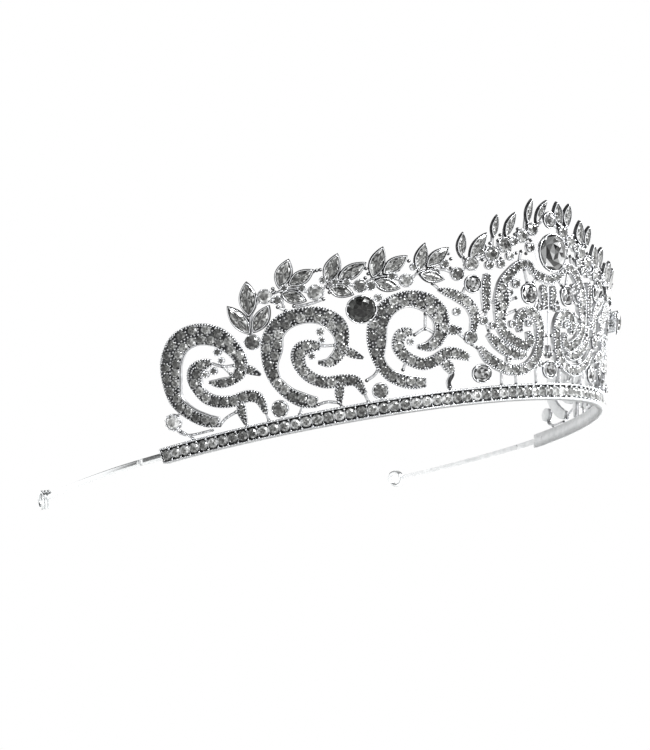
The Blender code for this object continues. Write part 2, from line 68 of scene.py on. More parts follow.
band = {
    "height": 3.7,
    "thickness": 1.7,
    "rim": 0.42,
    "stoneCount": 79,
    "stoneRadius": 1.16,
    "beadStep": 0.7,
    "beadRadius": 0.2,
}
cast = {
    "back": -0.75,
    "front": 0.5,
    "floor": 0.2,
    "rim": 0.24,
    "beadRadius": 0.21,
    "beadStep": 0.6,
    "stoneRadius": 1.06,
    "stoneOut": 0.36,
}

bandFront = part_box("base_band")[0].y * 1000
bandReach = band["height"] * sin(radians(ring["lean"]))
bandReach += band["thickness"] / 2 * cos(radians(ring["lean"]))
ringCentreY = bandFront + ring["frontDepth"] + bandReach
random = np.random.default_rng(7)


def ringSpot(angle):
    depth = np.where(np.cos(angle) >= 0, ring["frontDepth"], ring["backDepth"])
    spot = np.stack([ring["halfWidth"] * np.sin(angle), -depth * np.cos(angle)], -1)
    outward = np.stack([np.sin(angle) / ring["halfWidth"], -np.cos(angle) / depth], -1)
    return spot, outward / np.linalg.norm(outward, axis=-1, keepdims=True)


ringAngles = np.linspace(0.0, radians(ring["armEnd"] + 8), 4000)
ringSteps = np.diff(ringSpot(ringAngles)[0], axis=0)
ringLengths = np.concatenate([[0.0], np.cumsum(np.hypot(ringSteps[:, 0], ringSteps[:, 1]))])
bandHalf = float(np.interp(radians(ring["bandEnd"]), ringAngles, ringLengths))
armEnd = float(np.interp(radians(ring["armEnd"]), ringAngles, ringLengths))


def wrapPoints(points, lean=ring["lean"]):
    # (s, h, out) rows to metres on the wall
    points = np.asarray(points, float)
    s, h, out = points[..., 0], points[..., 1], points[..., 2]
    angle = np.sign(s) * np.interp(np.abs(s), ringLengths, ringAngles)
    spot, outward = ringSpot(angle)
    tilt = radians(lean)
    reach = h * sin(tilt) + out * cos(tilt)
    found = np.empty(points.shape)
    found[..., :2] = spot + outward * reach[..., None]
    found[..., 1] += ringCentreY
    found[..., 2] = h * cos(tilt) - out * sin(tilt)
    return found * 0.001


class Sketch:
    # gathers points and faces in (s, h, out), for sketchMesh to turn into one piece or a left and
    # a right one

    def __init__(self):
        self.points = []
        self.faces = []
        self.slots = []
        self.tones = []
        self.smooth = []
        self.count = 0

    def add(self, points, faces, slot=0, tones=0.5, smooth=True):
        points = np.asarray(points, float).reshape(-1, 3)
        self.points.append(points)
        self.faces += [[i + self.count for i in face] for face in faces]
        self.slots += [slot] * len(faces) if np.isscalar(slot) else list(slot)
        self.tones += [tones] * len(faces) if np.isscalar(tones) else list(tones)
        self.smooth += [smooth] * len(faces)
        self.count += len(points)


def sketchMesh(name, sketch, materials, mirror=False, lean=ring["lean"]):
    points = wrapPoints(np.concatenate(sketch.points), lean)
    faces = sketch.faces
    if mirror:
        points[:, 0] *= -1
        faces = [face[::-1] for face in faces]
    mesh = bpy.data.meshes.new(name)
    mesh.from_pydata(points.tolist(), [], faces)
    for material in materials:
        mesh.materials.append(material)
    mesh.polygons.foreach_set("material_index", sketch.slots)
    mesh.polygons.foreach_set("use_smooth", sketch.smooth)
    # per-face tone: on the stones, painted facet reflections with random variation
    tone = mesh.attributes.new("tone", "FLOAT", "FACE")
    tone.data.foreach_set("value", np.asarray(sketch.tones, np.float32))
    mesh.update()
    return mesh


def addPiece(name, mesh, body, nodes=()):
    piece = bpy.data.objects.new(name, mesh)
    bpy.context.scene.collection.objects.link(piece)
    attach(piece, body)
    if nodes:
        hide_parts(*nodes)
    return piece


# shapes in (s, h, out)


def sphereTemplate():
    # a small ball: two poles and three rings of six
    points = [(0.0, 0.0, 1.0)]
    for lift in (0.68, 0.0, -0.68):
        for k in range(6):
            turn = (k + (0.5 if lift == 0.0 else 0.0)) * pi / 3
            reach = (1 - lift * lift) ** 0.5
            points.append((reach * cos(turn), reach * sin(turn), lift))
    points.append((0.0, 0.0, -1.0))
    faces = []
    for k in range(6):
        n = (k + 1) % 6
        faces.append((0, 1 + k, 1 + n))
        faces.append((1 + k, 7 + k, 1 + n))
        faces.append((7 + k, 7 + n, 1 + n))
        faces.append((7 + k, 13 + n, 7 + n))
        faces.append((7 + k, 13 + k, 13 + n))
        faces.append((13 + k, 19, 13 + n))
    return np.array(points), faces


ballPoints, ballFaces = sphereTemplate()


def addBeads(sketch, places, radius, slot=0, tall=1.0):
    for place in places:
        sketch.add(ballPoints * (radius, radius, radius * tall) + place, ballFaces, slot)


def smoothPath(points, step=0.4):
    # Catmull-Rom through (s, h, width) rows, spaced evenly
    rows = np.array(points, float)
    ends = np.vstack([2 * rows[0] - rows[1], rows, 2 * rows[-1] - rows[-2]])
    found = []
    for i in range(len(rows) - 1):
        a, b, c, d = ends[i : i + 4]
        for t in np.linspace(0.0, 1.0, 12, endpoint=False):
            bend = (2 * a - 5 * b + 4 * c - d) * t * t + (3 * b - a - 3 * c + d) * t**3
            found.append(0.5 * (2 * b + (c - a) * t + bend))
    found.append(rows[-1])
    found = np.array(found)
    run = np.concatenate([[0.0], np.cumsum(np.hypot(*np.diff(found[:, :2], axis=0).T))])
    places = np.linspace(0.0, run[-1], max(3, int(round(run[-1] / step)) + 1))
    even = np.stack([np.interp(places, run, column) for column in found.T], -1)
    return even, places


def pathSides(path):
    run = np.gradient(path[:, :2], axis=0)
    run /= np.linalg.norm(run, axis=1)[:, None]
    return np.stack([-run[:, 1], run[:, 0]], -1)


def loft(sketch, rows, slotRow, slotSteps=None):
    # rows: (n, k, 3); slotRow: one slot for each step round the section, or slotSteps: one a row
    rows = np.asarray(rows, float)
    n, k = rows.shape[:2]
    faces, slots = [], []
    for i in range(n - 1):
        for j in range(k):
            m = (j + 1) % k
            faces.append((i * k + j, (i + 1) * k + j, (i + 1) * k + m, i * k + m))
            slots.append(slotRow[j] if slotSteps is None else slotSteps[i])
    faces.append(tuple(range(k)))
    faces.append(tuple((n - 1) * k + j for j in reversed(range(k))))
    slots += [slotRow[0], slotRow[0]] if slotSteps is None else [slotSteps[0], slotSteps[-1]]
    sketch.add(rows, faces, slots)


def addRibbon(sketch, points, smoothSide=0):
    # a cast strip with a low rim along both edges and a sunk floor between them
    front = cast["front"]
    path, places = smoothPath(points)
    side = pathSides(path)
    half = path[:, 2] / 2
    rim = np.minimum(cast["rim"], half * 0.4)
    section = (
        (1.0, 0.0, cast["back"] + 0.12),
        (1.0, 0.0, front - 0.2),
        (1.0, 0.35, front),
        (1.0, 0.9, front),
        (1.0, 1.4, cast["floor"]),
        (-1.0, 1.4, cast["floor"]),
        (-1.0, 0.9, front),
        (-1.0, 0.35, front),
        (-1.0, 0.0, front - 0.2),
        (-1.0, 0.0, cast["back"] + 0.12),
        (-1.0, 0.8, cast["back"]),
        (1.0, 0.8, cast["back"]),
    )
    rows = np.zeros((len(path), len(section), 3))
    for j, (sign, inset, out) in enumerate(section):
        reach = sign * (half - inset * rim)
        rows[:, j, :2] = path[:, :2] + side * reach[:, None]
        rows[:, j, 2] = out
    # dark painted shade on the rims and the sunk floor, mid-grey painted shade on the outer walls,
    # near-white painted light on the back; a smooth outer rim top is bright plating
    slots = [1] * len(section)
    slots[0] = slots[8] = 2
    slots[9] = slots[10] = slots[11] = 3
    if smoothSide:
        slots[2 if smoothSide > 0 else 6] = 0
    loft(sketch, rows, slots)
    for sign in (1.0, -1.0):
        if sign != smoothSide:
            edge = path[:, :2] + side * (sign * (half - rim * 0.45))[:, None]
            addBeadRow(sketch, edge, front - 0.04, half > 0.45)
    return path, places, side


def addBeadRow(sketch, edge, out, wanted, step=cast["beadStep"]):
    run = np.concatenate([[0.0], np.cumsum(np.hypot(*np.diff(edge, axis=0).T))])
    count = max(2, int(run[-1] / step))
    for place in np.linspace(0.0, run[-1], count):
        k = int(np.searchsorted(run, place).clip(0, len(edge) - 1))
        if wanted[k]:
            spot = [np.interp(place, run, column) for column in edge.T]
            addBeads(sketch, [(spot[0], spot[1], out)], cast["beadRadius"])


def brilliantTemplate():
    # a round cut: table with a raised middle point, stars, kites, upper girdle and a plain seat
    points = [(0.0, 0.0, 0.4)]
    for k in range(8):
        turn = k * pi / 4
        points.append((0.56 * cos(turn), 0.56 * sin(turn), 0.4))
    for k in range(8):
        turn = (k + 0.5) * pi / 4
        points.append((0.8 * cos(turn), 0.8 * sin(turn), 0.25))
    for lift in (0.0, -0.2):
        for k in range(16):
            turn = k * pi / 8
            points.append((cos(turn), sin(turn), lift))
    # each facet's tone is a painted reflection: a dark table, lighter kites and upper girdle
    faces, tones = [], []
    for k in range(8):
        n = (k + 1) % 8
        p = (k - 1) % 8
        faces.append((0, 1 + k, 1 + n))
        tones.append(0.16 if k % 2 else 0.3)
        faces.append((1 + k, 9 + k, 1 + n))
        tones.append(0.5)
        faces.append((1 + k, 9 + p, 17 + 2 * k, 9 + k))
        tones.append(0.62 if k % 2 else 0.42)
        faces.append((9 + k, 17 + 2 * k, 18 + 2 * k))
        faces.append((9 + k, 18 + 2 * k, 17 + 2 * n))
        tones += [0.72, 0.56]
    for k in range(16):
        n = (k + 1) % 16
        faces.append((17 + k, 33 + k, 33 + n, 17 + n))
        tones.append(0.5)
    faces.append(tuple(33 + k for k in reversed(range(16))))
    tones.append(0.5)
    return np.array(points), faces, np.array(tones)


cutPoints, cutFaces, cutPaintedReflections = brilliantTemplate()


def addStone(sketch, s, h, out, radius, shade=0.0):
    turn = random.uniform(0.0, pi / 4)
    spin = np.array([[cos(turn), -sin(turn), 0], [sin(turn), cos(turn), 0], [0, 0, 1]])
    points = cutPoints @ spin.T * radius
    # painted facet reflections, moved up or down at random per stone and per facet, then by the
    # shade
    tones = cutPaintedReflections + random.uniform(-0.15, 0.2) + random.normal(0, 0.12, len(cutPaintedReflections))
    tones = np.clip(tones + shade, 0, 1)
    sketch.add(points + (s, h, out), cutFaces, 0, tones, smooth=False)


def addClaws(sketch, s, h, out, radius, count):
    angles = pi / 4 + np.arange(count) * 2 * pi / count
    for angle in angles:
        place = (s + radius * cos(angle), h + radius * sin(angle), out)
        addBeads(sketch, [place], seatShape["claw"], tall=1.3)


def fillRibbon(metal, stones, path, places, side):
    # stones in one line or zigzag, as wide as the ribbon allows, then grains in what is left
    total = places[-1]
    at, sign, found = 0.35, 1.0, []
    while at < total - 0.3:
        width = float(np.interp(at, places, path[:, 2]))
        radius = min(cast["stoneRadius"], width / 2 - 0.14)
        if radius < 0.5:
            at += 0.2
            continue
        swing = max(0.0, width / 2 - 0.2 - radius)
        reach = max((max(0.0, (2 * radius + 0.05) ** 2 - 4 * swing**2)) ** 0.5, radius + 0.06)
        if not found:
            at += radius * 0.8
        if at > total - radius * 0.7:
            break
        spot = np.array([np.interp(at, places, path[:, k]) for k in (0, 1)])
        across = np.array([np.interp(at, places, side[:, k]) for k in (0, 1)])
        centre = spot + across / np.linalg.norm(across) * swing * sign
        if all(hypot(*(centre - other)) > radius + size - 0.08 for other, size in found):
            addStone(stones, centre[0], centre[1], cast["stoneOut"], radius)
            found.append((centre, radius))
            sign = -sign
            at += reach
        else:
            at += 0.15
    grains = []
    for k in range(len(path)):
        half = path[k, 2] / 2 - 0.45
        for share in np.linspace(-1.0, 1.0, max(2, int(half / 0.3) + 1)):
            spot = path[k, :2] + side[k] * share * half
            if half < 0.1:
                continue
            if any(hypot(*(spot - other)) < size + 0.02 for other, size in found):
                continue
            if any(hypot(*(spot - other)) < 0.5 for other in grains):
                continue
            grains.append(spot)
    # the grains take the mid-grey painted shade
    addBeads(metal, [(*spot, cast["front"] + 0.1) for spot in grains], 0.24, slot=2, tall=1.2)


wireShape = {"sides": 8, "tip": 0.6, "step": 0.35}


def addWire(sketch, points, radius=0.4, out=0.0, slot=0):
    # points: (s, h) or (s, h, out) rows
    rows = [(*p, out)[:3] if len(p) == 2 else p for p in points]
    path = smoothPath([(p[0], p[1], p[2]) for p in rows], wireShape["step"])[0]
    run = np.gradient(path, axis=0)
    run /= np.linalg.norm(run, axis=1)[:, None]
    side = np.cross(run, (0.0, 0.0, 1.0))
    side /= np.linalg.norm(side, axis=1)[:, None]
    up = np.cross(side, run)
    turns = np.arange(wireShape["sides"]) * 2 * pi / wireShape["sides"]
    across = side[:, None] * np.cos(turns)[None, :, None]
    above = up[:, None] * np.sin(turns)[None, :, None]
    thin = np.ones(len(path))
    thin[0] = thin[-1] = wireShape["tip"]
    rows = path[:, None] + (across + above) * (radius * thin)[:, None, None]
    loft(sketch, rows[:, ::-1], [slot] * wireShape["sides"])


def addGrainedWire(sketch, points, radius=0.34):
    # a wire in the mid-grey painted shade with a line of bright grains on its crest, and at each
    # end a dark knob as a painted dark reflection with a small bright bead on it as a painted
    # highlight
    addWire(sketch, points, radius, slot=2)
    line = smoothPath([(*point, 1.0) for point in points])[0][:, :2]
    addBeadRow(sketch, line, radius * 0.9, np.ones(len(line), bool), cast["beadStep"] * 1.3)
    for end in (points[0], points[-1]):
        addBeads(sketch, [(*end, 0.1)], radius * 1.3, slot=1)
        addBeads(sketch, [(end[0] + 0.08, end[1] + 0.08, 0.42)], 0.2)


leafShape = {
    "steps": 15,
    "curl": 0.9,
    "roll": 0.3,
    "wallSection": (
        (0.1, -0.4),
        (-0.14, -0.25),
        (-0.14, 0.05),
        (0.08, 0.52),
        (0.1, 0.62),
        (0.2, 0.62),
        (0.32, 0.36),
    ),
    "cut": ((0.24, 0.34, 0.42), (0.3, 0.46, 0.5), (0.72, 0.74, 0.3), (1.1, 0.86, 0.16)),
}


def leafOutline(base, tip, width, inset, out, steps=leafShape["steps"]):
    # one closed loop round a pointed oval, narrower by the inset all round
    start, end = np.array(base, float), np.array(tip, float)
    run = end - start
    length = np.linalg.norm(run)
    along = run / length
    side = np.array([-along[1], along[0]])
    places = np.linspace(0.0, 1.0, steps)
    trim = inset * 1.4 / length
    share = trim + (1 - 2 * trim) * places
    swell = np.sin(pi * places) ** 0.8 * (1.06 - 0.16 * places) * (width / 2 - inset)
    upper = start + share[:, None] * run + swell[:, None] * side
    lower = start + share[:, None] * run - swell[:, None] * side
    loop = np.concatenate([upper, lower[-2:0:-1]])
    shares = np.concatenate([share, share[-2:0:-1]])
    swells = np.concatenate([swell, -swell[-2:0:-1]])
    tilt = -swells * side[0] * leafShape["roll"]
    return np.column_stack([loop, out + leafShape["curl"] * shares**2 + tilt])


def addLeaf(metal, stones, base, tip, width=3.9):
    rows = [leafOutline(base, tip, width, *part)[::-1] for part in leafShape["wallSection"]]
    # near-white painted light on the back, dark painted shade on the lower walls and inner lip,
    # bright plating on the rim top
    loft(metal, np.array(rows), [0] * len(rows[0]), slotSteps=(3, 1, 1, 0, 0, 1))
    # a pointed-oval stone: rings of facets from the edge up to a small table, each facet toned as
    # a painted reflection
    rings = [leafOutline(base, tip, width, *part[:2], 9) for part in leafShape["cut"]]
    points = np.concatenate(rings + [rings[-1].mean(0)[None]])
    count = len(rings[0])
    faces, tones = [], []
    for level in range(len(rings) - 1):
        low, high = level * count, (level + 1) * count
        shade = leafShape["cut"][level][2]
        for k in range(count):
            n = (k + 1) % count
            if k % 2:
                faces += [(low + k, high + k, low + n), (low + n, high + k, high + n)]
            else:
                faces += [(low + k, high + n, low + n), (low + k, high + k, high + n)]
            tones += list(shade + 0.45 * random.uniform(-1, 1, 2))
    top = (len(rings) - 1) * count
    for k in range(count):
        faces.append((top + k, len(points) - 1, top + (k + 1) % count))
        tones.append(0.3 + 0.35 * random.uniform(-1, 1))
    faces = [face[::-1] for face in faces]
    stones.add(points, faces, 0, np.clip(tones, 0, 1), smooth=False)


seatShape = {"wall": 0.22, "sides": 20, "claw": 0.25}


def addSeat(metal, stones, s, h, radius, claws=6, shade=-0.02):
    # a round cup with a stone and claws
    wall = seatShape["wall"]
    turns = np.arange(seatShape["sides"]) * 2 * pi / seatShape["sides"]
    section = (
        (radius * 0.7, cast["back"]),
        (radius + wall * 0.8, cast["back"] + 0.15),
        (radius + wall, 0.1),
        (radius + wall * 0.8, 0.42),
        (radius + wall * 0.25, 0.5),
        (radius + 0.02, 0.4),
        (radius - 0.15, 0.2),
    )
    rows = np.array([
        [(s + r * cos(t), h + r * sin(t), level) for t in turns] for r, level in section
    ])
    # near-white painted light on the back, mid-grey then dark painted shade up the outer wall,
    # bright rim top, dark painted shade inside
    loft(metal, rows, [0] * len(turns), slotSteps=(3, 2, 1, 0, 1, 1))
    addStone(stones, s, h, 0.42, radius * 0.98, shade)
    addClaws(metal, s, h, 0.6, radius + 0.08, claws)


# materials


def hexColor(code):
    found = []
    for i in (1, 3, 5):
        value = int(code[i : i + 2], 16) / 255
        found.append(value / 12.92 if value <= 0.04045 else ((value + 0.055) / 1.055) ** 2.4)
    return (*found, 1.0)


def addNode(tree, kind, settings=None, links=None):
    node = tree.nodes.new(kind)
    for key, value in (settings or {}).items():
        if isinstance(key, int) or key in node.inputs:
            node.inputs[key].default_value = value
        else:
            setattr(node, key, value)
    for key, source in (links or {}).items():
        tree.links.new(source, node.inputs[key])
    return node


def newMaterial(name):
    material = bpy.data.materials.new(name)
    material.use_nodes = True
    tree = material.node_tree
    return material, tree, tree.nodes["Principled BSDF"]


def setRamp(node, stops):
    ramp = node.color_ramp
    while len(ramp.elements) < len(stops):
        ramp.elements.new(0.5)
    for element, (place, color) in zip(ramp.elements, stops):
        element.position = place
        element.color = color
    return node


def grey(value):
    return (value, value, value, 1.0)


def grainNodes(tree, sizeMm):
    place = addNode(tree, "ShaderNodeTexCoord")
    return addNode(
        tree,
        "ShaderNodeTexNoise",
        {"Scale": 1000.0 / sizeMm, "Detail": 3.0, "Roughness": 0.55},
        {"Vector": place.outputs["Object"]},
    )


def rhodiumPlatedCasting():
    # bright, slightly uneven mirror: plating over a tumbled casting
    material, tree, shader = newMaterial("rhodiumPlatedCasting")
    tint = setRamp(
        addNode(tree, "ShaderNodeValToRGB", {}, {"Fac": grainNodes(tree, 3.0).outputs["Fac"]}),
        ((0.3, hexColor("#e4e6ea")), (0.7, hexColor("#f6f7f8"))),
    )
    skin = grainNodes(tree, 0.45)
    rough = addNode(
        tree,
        "ShaderNodeMapRange",
        {"To Min": 0.1, "To Max": 0.26},
        {"Value": skin.outputs["Fac"]},
    )
    bump = addNode(
        tree,
        "ShaderNodeBump",
        {"Strength": 0.35, "Distance": 0.00004},
        {"Height": skin.outputs["Fac"]},
    )
    tree.links.new(tint.outputs["Color"], shader.inputs["Base Color"])
    tree.links.new(rough.outputs["Result"], shader.inputs["Roughness"])
    tree.links.new(bump.outputs["Normal"], shader.inputs["Normal"])
    shader.inputs["Metallic"].default_value = 1.0
    return material


def shadedRecess():
    # dark plating as painted shade in the sunk floors, walls and rims, and as painted dark
    # reflections on knobs and beads
    material, tree, shader = newMaterial("paintedShadeRecessPlating")
    tint = setRamp(
        addNode(tree, "ShaderNodeValToRGB", {}, {"Fac": grainNodes(tree, 0.8).outputs["Fac"]}),
        ((0.3, hexColor("#2a2a2b")), (0.7, hexColor("#606163"))),
    )
    tree.links.new(tint.outputs["Color"], shader.inputs["Base Color"])
    shader.inputs["Metallic"].default_value = 0.9
    shader.inputs["Roughness"].default_value = 0.42
    return material


def foiledRhinestone(name, stops, coat):
    # opaque cut glass on a grey foil: facet tones are painted reflections, a dark middle and a
    # lighter, flashing rim
    material, tree, shader = newMaterial(name)
    tone = addNode(tree, "ShaderNodeAttribute", {"attribute_name": "tone"})
    tint = setRamp(
        addNode(tree, "ShaderNodeValToRGB", {}, {"Fac": tone.outputs["Fac"]}),
        [(level, hexColor(code)) for level, code in stops],
    )
    rough = addNode(
        tree,
        "ShaderNodeMapRange",
        {"To Min": 0.04, "To Max": 0.12},
        {"Value": grainNodes(tree, 1.2).outputs["Fac"]},
    )
    tree.links.new(tint.outputs["Color"], shader.inputs["Base Color"])
    tree.links.new(rough.outputs["Result"], shader.inputs["Roughness"])
    shader.inputs["Metallic"].default_value = 0.5
    shader.inputs["Coat Weight"].default_value = coat
    shader.inputs["Coat Roughness"].default_value = 0.02
    return material


def springStrip():
    # rolled strip under the plating: long faint drawing lines
    material, tree, shader = newMaterial("rolledStripPlating")
    place = addNode(tree, "ShaderNodeTexCoord")
    squeeze = addNode(
        tree,
        "ShaderNodeMapping",
        {"Scale": (60.0, 60.0, 9000.0)},
        {"Vector": place.outputs["Object"]},
    )
    lines = addNode(
        tree,
        "ShaderNodeTexNoise",
        {"Scale": 1.0, "Detail": 4.0},
        {"Vector": squeeze.outputs["Vector"]},
    )
    rough = addNode(
        tree,
        "ShaderNodeMapRange",
        {"To Min": 0.14, "To Max": 0.3},
        {"Value": lines.outputs["Fac"]},
    )
    bump = addNode(
        tree,
        "ShaderNodeBump",
        {"Strength": 0.2, "Distance": 0.00003},
        {"Height": lines.outputs["Fac"]},
    )
    tree.links.new(rough.outputs["Result"], shader.inputs["Roughness"])
    tree.links.new(bump.outputs["Normal"], shader.inputs["Normal"])
    shader.inputs["Base Color"].default_value = hexColor("#f2f4f5")
    shader.inputs["Metallic"].default_value = 1.0
    return material


def shadedSatinSideWall():
    # side faces, wires and grains of the casting: satin roughness and a mid grey that is painted
    # shade
    material, tree, shader = newMaterial("satinSideWallPaintedShade")
    tint = setRamp(
        addNode(tree, "ShaderNodeValToRGB", {}, {"Fac": grainNodes(tree, 0.9).outputs["Fac"]}),
        ((0.3, hexColor("#a4a5a7")), (0.7, hexColor("#dcdddf"))),
    )
    tree.links.new(tint.outputs["Color"], shader.inputs["Base Color"])
    shader.inputs["Metallic"].default_value = 1.0
    shader.inputs["Roughness"].default_value = 0.38
    return material


def paintedLightFrostedBack():
    # back and inner faces, matt and almost white: painted light that washes them out, with a fine
    # frosty bump
    material, tree, shader = newMaterial("frostedBackPaintedLight")
    skin = grainNodes(tree, 0.35)
    tint = setRamp(
        addNode(tree, "ShaderNodeValToRGB", {}, {"Fac": grainNodes(tree, 2.0).outputs["Fac"]}),
        ((0.3, hexColor("#dfe1e2")), (0.7, hexColor("#f4f5f6"))),
    )
    bump = addNode(
        tree,
        "ShaderNodeBump",
        {"Strength": 0.3, "Distance": 0.00003},
        {"Height": skin.outputs["Fac"]},
    )
    tree.links.new(tint.outputs["Color"], shader.inputs["Base Color"])
    tree.links.new(bump.outputs["Normal"], shader.inputs["Normal"])
    shader.inputs["Metallic"].default_value = 0.1
    shader.inputs["Roughness"].default_value = 0.5
    return material


casting = rhodiumPlatedCasting()
paintedShadeMetal = shadedRecess()
rhinestone = foiledRhinestone(
    "foilBackedRhinestone",
    ((0.05, "#242424"), (0.38, "#5d5e5d"), (0.66, "#a3a4a3"), (0.94, "#f6f7f7")),
    0.5,
)
smoky = foiledRhinestone(
    "darkFoilRhinestone",
    ((0.05, "#161616"), (0.3, "#363736"), (0.55, "#6c6d6c"), (0.8, "#c8c9c9")),
    0.15,
)
# crystal stones are opaque: their black, grey and white facets are painted reflections
crystal = foiledRhinestone(
    "crystalPaintedReflections",
    ((0.1, "#1a1a1a"), (0.35, "#747575"), (0.55, "#b4b5b6"), (0.8, "#fafafa")),
    0.3,
)
strip = springStrip()
paintedLightBack = paintedLightFrostedBack()
# slot 0 bright plating, slot 1 dark painted shade, slot 2 mid-grey painted shade, slot 3
# near-white painted light
metals = (casting, paintedShadeMetal, shadedSatinSideWall(), paintedLightBack)
print("materials made")


# cast motifs: ribbons as (s, h, width) rows

scrolls = {
    "outer_scroll_1": (
        (
            (-79.6, 5.9, 2.2),
            (-82.6, 7.1, 2.9),
            (-85.8, 9.6, 2.9),
            (-88.0, 13.2, 3.4),
            (-87.6, 17.8, 4.6),
            (-86.3, 21.8, 4.9),
            (-83.4, 24.9, 4.9),
            (-79.2, 25.7, 4.8),
            (-75.3, 24.2, 4.4),
            (-72.6, 21.2, 3.6),
            (-71.4, 18.0, 3.0),
            (-72.2, 15.4, 2.7),
            (-74.2, 14.2, 2.1),
            (-76.9, 14.2, 2.2),
            (-79.3, 15.0, 0.7),
        ),
        ((-71.8, 16.6, 1.6), (-69.6, 15.2, 1.8), (-67.9, 13.9, 0.6)),
    ),
    "outer_scroll_2": (
        (
            (-57.4, 5.5, 2.3),
            (-60.4, 6.7, 3.2),
            (-63.0, 8.8, 2.8),
            (-64.9, 11.8, 2.6),
            (-65.4, 15.2, 3.2),
            (-64.4, 18.8, 4.6),
            (-63.2, 22.0, 4.2),
            (-60.4, 24.1, 3.9),
            (-56.4, 24.5, 3.5),
            (-52.8, 23.5, 3.8),
            (-50.4, 20.9, 4.0),
            (-50.0, 17.8, 3.0),
            (-51.0, 15.2, 2.7),
            (-53.2, 13.6, 2.2),
            (-55.6, 14.0, 0.8),
        ),
        ((-50.4, 16.2, 1.6), (-48.2, 14.5, 1.9), (-46.2, 13.2, 0.6)),
    ),
    "outer_scroll_3": (
        (
            (-33.6, 6.0, 2.2),
            (-36.4, 6.4, 3.0),
            (-39.0, 7.3, 2.9),
            (-41.4, 9.0, 2.6),
            (-43.0, 12.2, 2.7),
            (-42.9, 16.2, 4.2),
            (-42.0, 20.4, 4.2),
            (-39.4, 23.3, 3.8),
            (-35.6, 24.5, 3.6),
            (-31.8, 23.4, 4.1),
            (-29.2, 20.8, 4.0),
            (-28.7, 18.0, 3.4),
            (-29.6, 15.3, 2.9),
            (-31.8, 13.8, 2.4),
            (-34.4, 13.9, 0.9),
        ),
        ((-28.8, 17.4, 1.6), (-26.2, 16.7, 2.2), (-24.2, 16.5, 1.0)),
    ),
    "inner_scroll_1": (
        (
            (-77.6, 19.0, 1.3),
            (-79.6, 19.0, 2.6),
            (-81.6, 18.1, 3.4),
            (-82.4, 16.1, 3.2),
            (-82.1, 13.9, 2.6),
            (-80.8, 11.7, 2.6),
            (-78.4, 10.3, 2.6),
            (-75.2, 9.7, 2.6),
            (-71.6, 10.0, 2.6),
            (-69.4, 8.8, 2.3),
            (-68.7, 5.8, 1.2),
        ),
        ((-73.5, 9.2, 1.5), (-73.9, 6.9, 2.0), (-73.7, 4.1, 0.7)),
    ),
    "inner_scroll_2": (
        (
            (-54.6, 17.3, 1.6),
            (-56.6, 17.8, 2.8),
            (-58.6, 17.4, 3.3),
            (-59.5, 15.7, 3.0),
            (-59.1, 13.2, 2.6),
            (-57.4, 10.9, 2.6),
            (-54.6, 9.4, 2.6),
            (-51.2, 9.2, 2.6),
            (-48.5, 8.5, 2.3),
            (-47.1, 5.6, 1.2),
        ),
        ((-51.7, 8.8, 1.5), (-52.4, 6.6, 2.0), (-52.6, 4.2, 0.7)),
    ),
    "inner_scroll_3": (
        (
            (-35.4, 17.3, 1.6),
            (-37.4, 17.2, 2.5),
            (-38.6, 15.2, 2.6),
            (-37.9, 12.9, 2.6),
            (-36.0, 11.1, 2.6),
            (-33.4, 10.0, 2.6),
            (-30.6, 10.6, 2.6),
            (-27.8, 11.8, 2.6),
            (-25.0, 11.2, 2.4),
            (-22.9, 10.2, 1.3),
        ),
        (
            (-29.2, 10.2, 1.6),
            (-27.9, 8.8, 2.3),
            (-27.3, 7.0, 1.0),
            (-28.2, 5.4, 0.8),
            (-28.0, 4.1, 0.8),
        ),
    ),
    "arch_row": (
        (
            (-28.6, 25.8, 0.8),
            (-26.4, 24.9, 2.0),
            (-24.0, 23.6, 2.4),
            (-21.9, 21.9, 2.4),
            (-20.8, 19.2, 2.2),
            (-21.6, 15.8, 1.2),
        ),
    ),
    "bar_row": (((-17.2, 28.4, 1.4), (-17.7, 25.4, 2.0), (-17.8, 23.0, 2.0), (-17.9, 20.4, 1.4)),),
    "j_scroll": (
        (
            (-19.9, 12.2, 1.4),
            (-18.1, 10.0, 2.4),
            (-15.2, 8.1, 2.5),
            (-11.8, 6.9, 2.5),
            (-8.4, 7.0, 2.5),
            (-5.6, 8.3, 2.5),
            (-3.8, 10.4, 2.5),
            (-3.0, 13.6, 2.4),
            (-3.1, 17.0, 2.4),
            (-4.8, 19.4, 2.5),
            (-7.6, 19.6, 2.5),
            (-9.3, 17.9, 2.3),
            (-9.0, 15.4, 1.2),
        ),
    ),
    "s_scroll": (
        (
            (-4.8, 28.6, 1.0),
            (-6.0, 30.4, 1.8),
            (-8.6, 30.4, 2.1),
            (-11.4, 28.4, 2.3),
            (-13.4, 26.0, 2.6),
            (-13.9, 22.4, 3.8),
            (-14.4, 19.4, 2.8),
            (-14.2, 16.4, 2.3),
            (-12.4, 14.2, 2.6),
            (-10.0, 12.9, 2.6),
            (-7.6, 12.2, 2.5),
            (-6.0, 13.4, 2.2),
            (-6.6, 15.4, 1.0),
        ),
        (
            (-17.7, 15.1, 1.2),
            (-15.6, 13.1, 2.4),
            (-12.9, 11.2, 2.4),
            (-9.6, 10.2, 2.2),
            (-7.4, 10.3, 1.0),
        ),
    ),
}
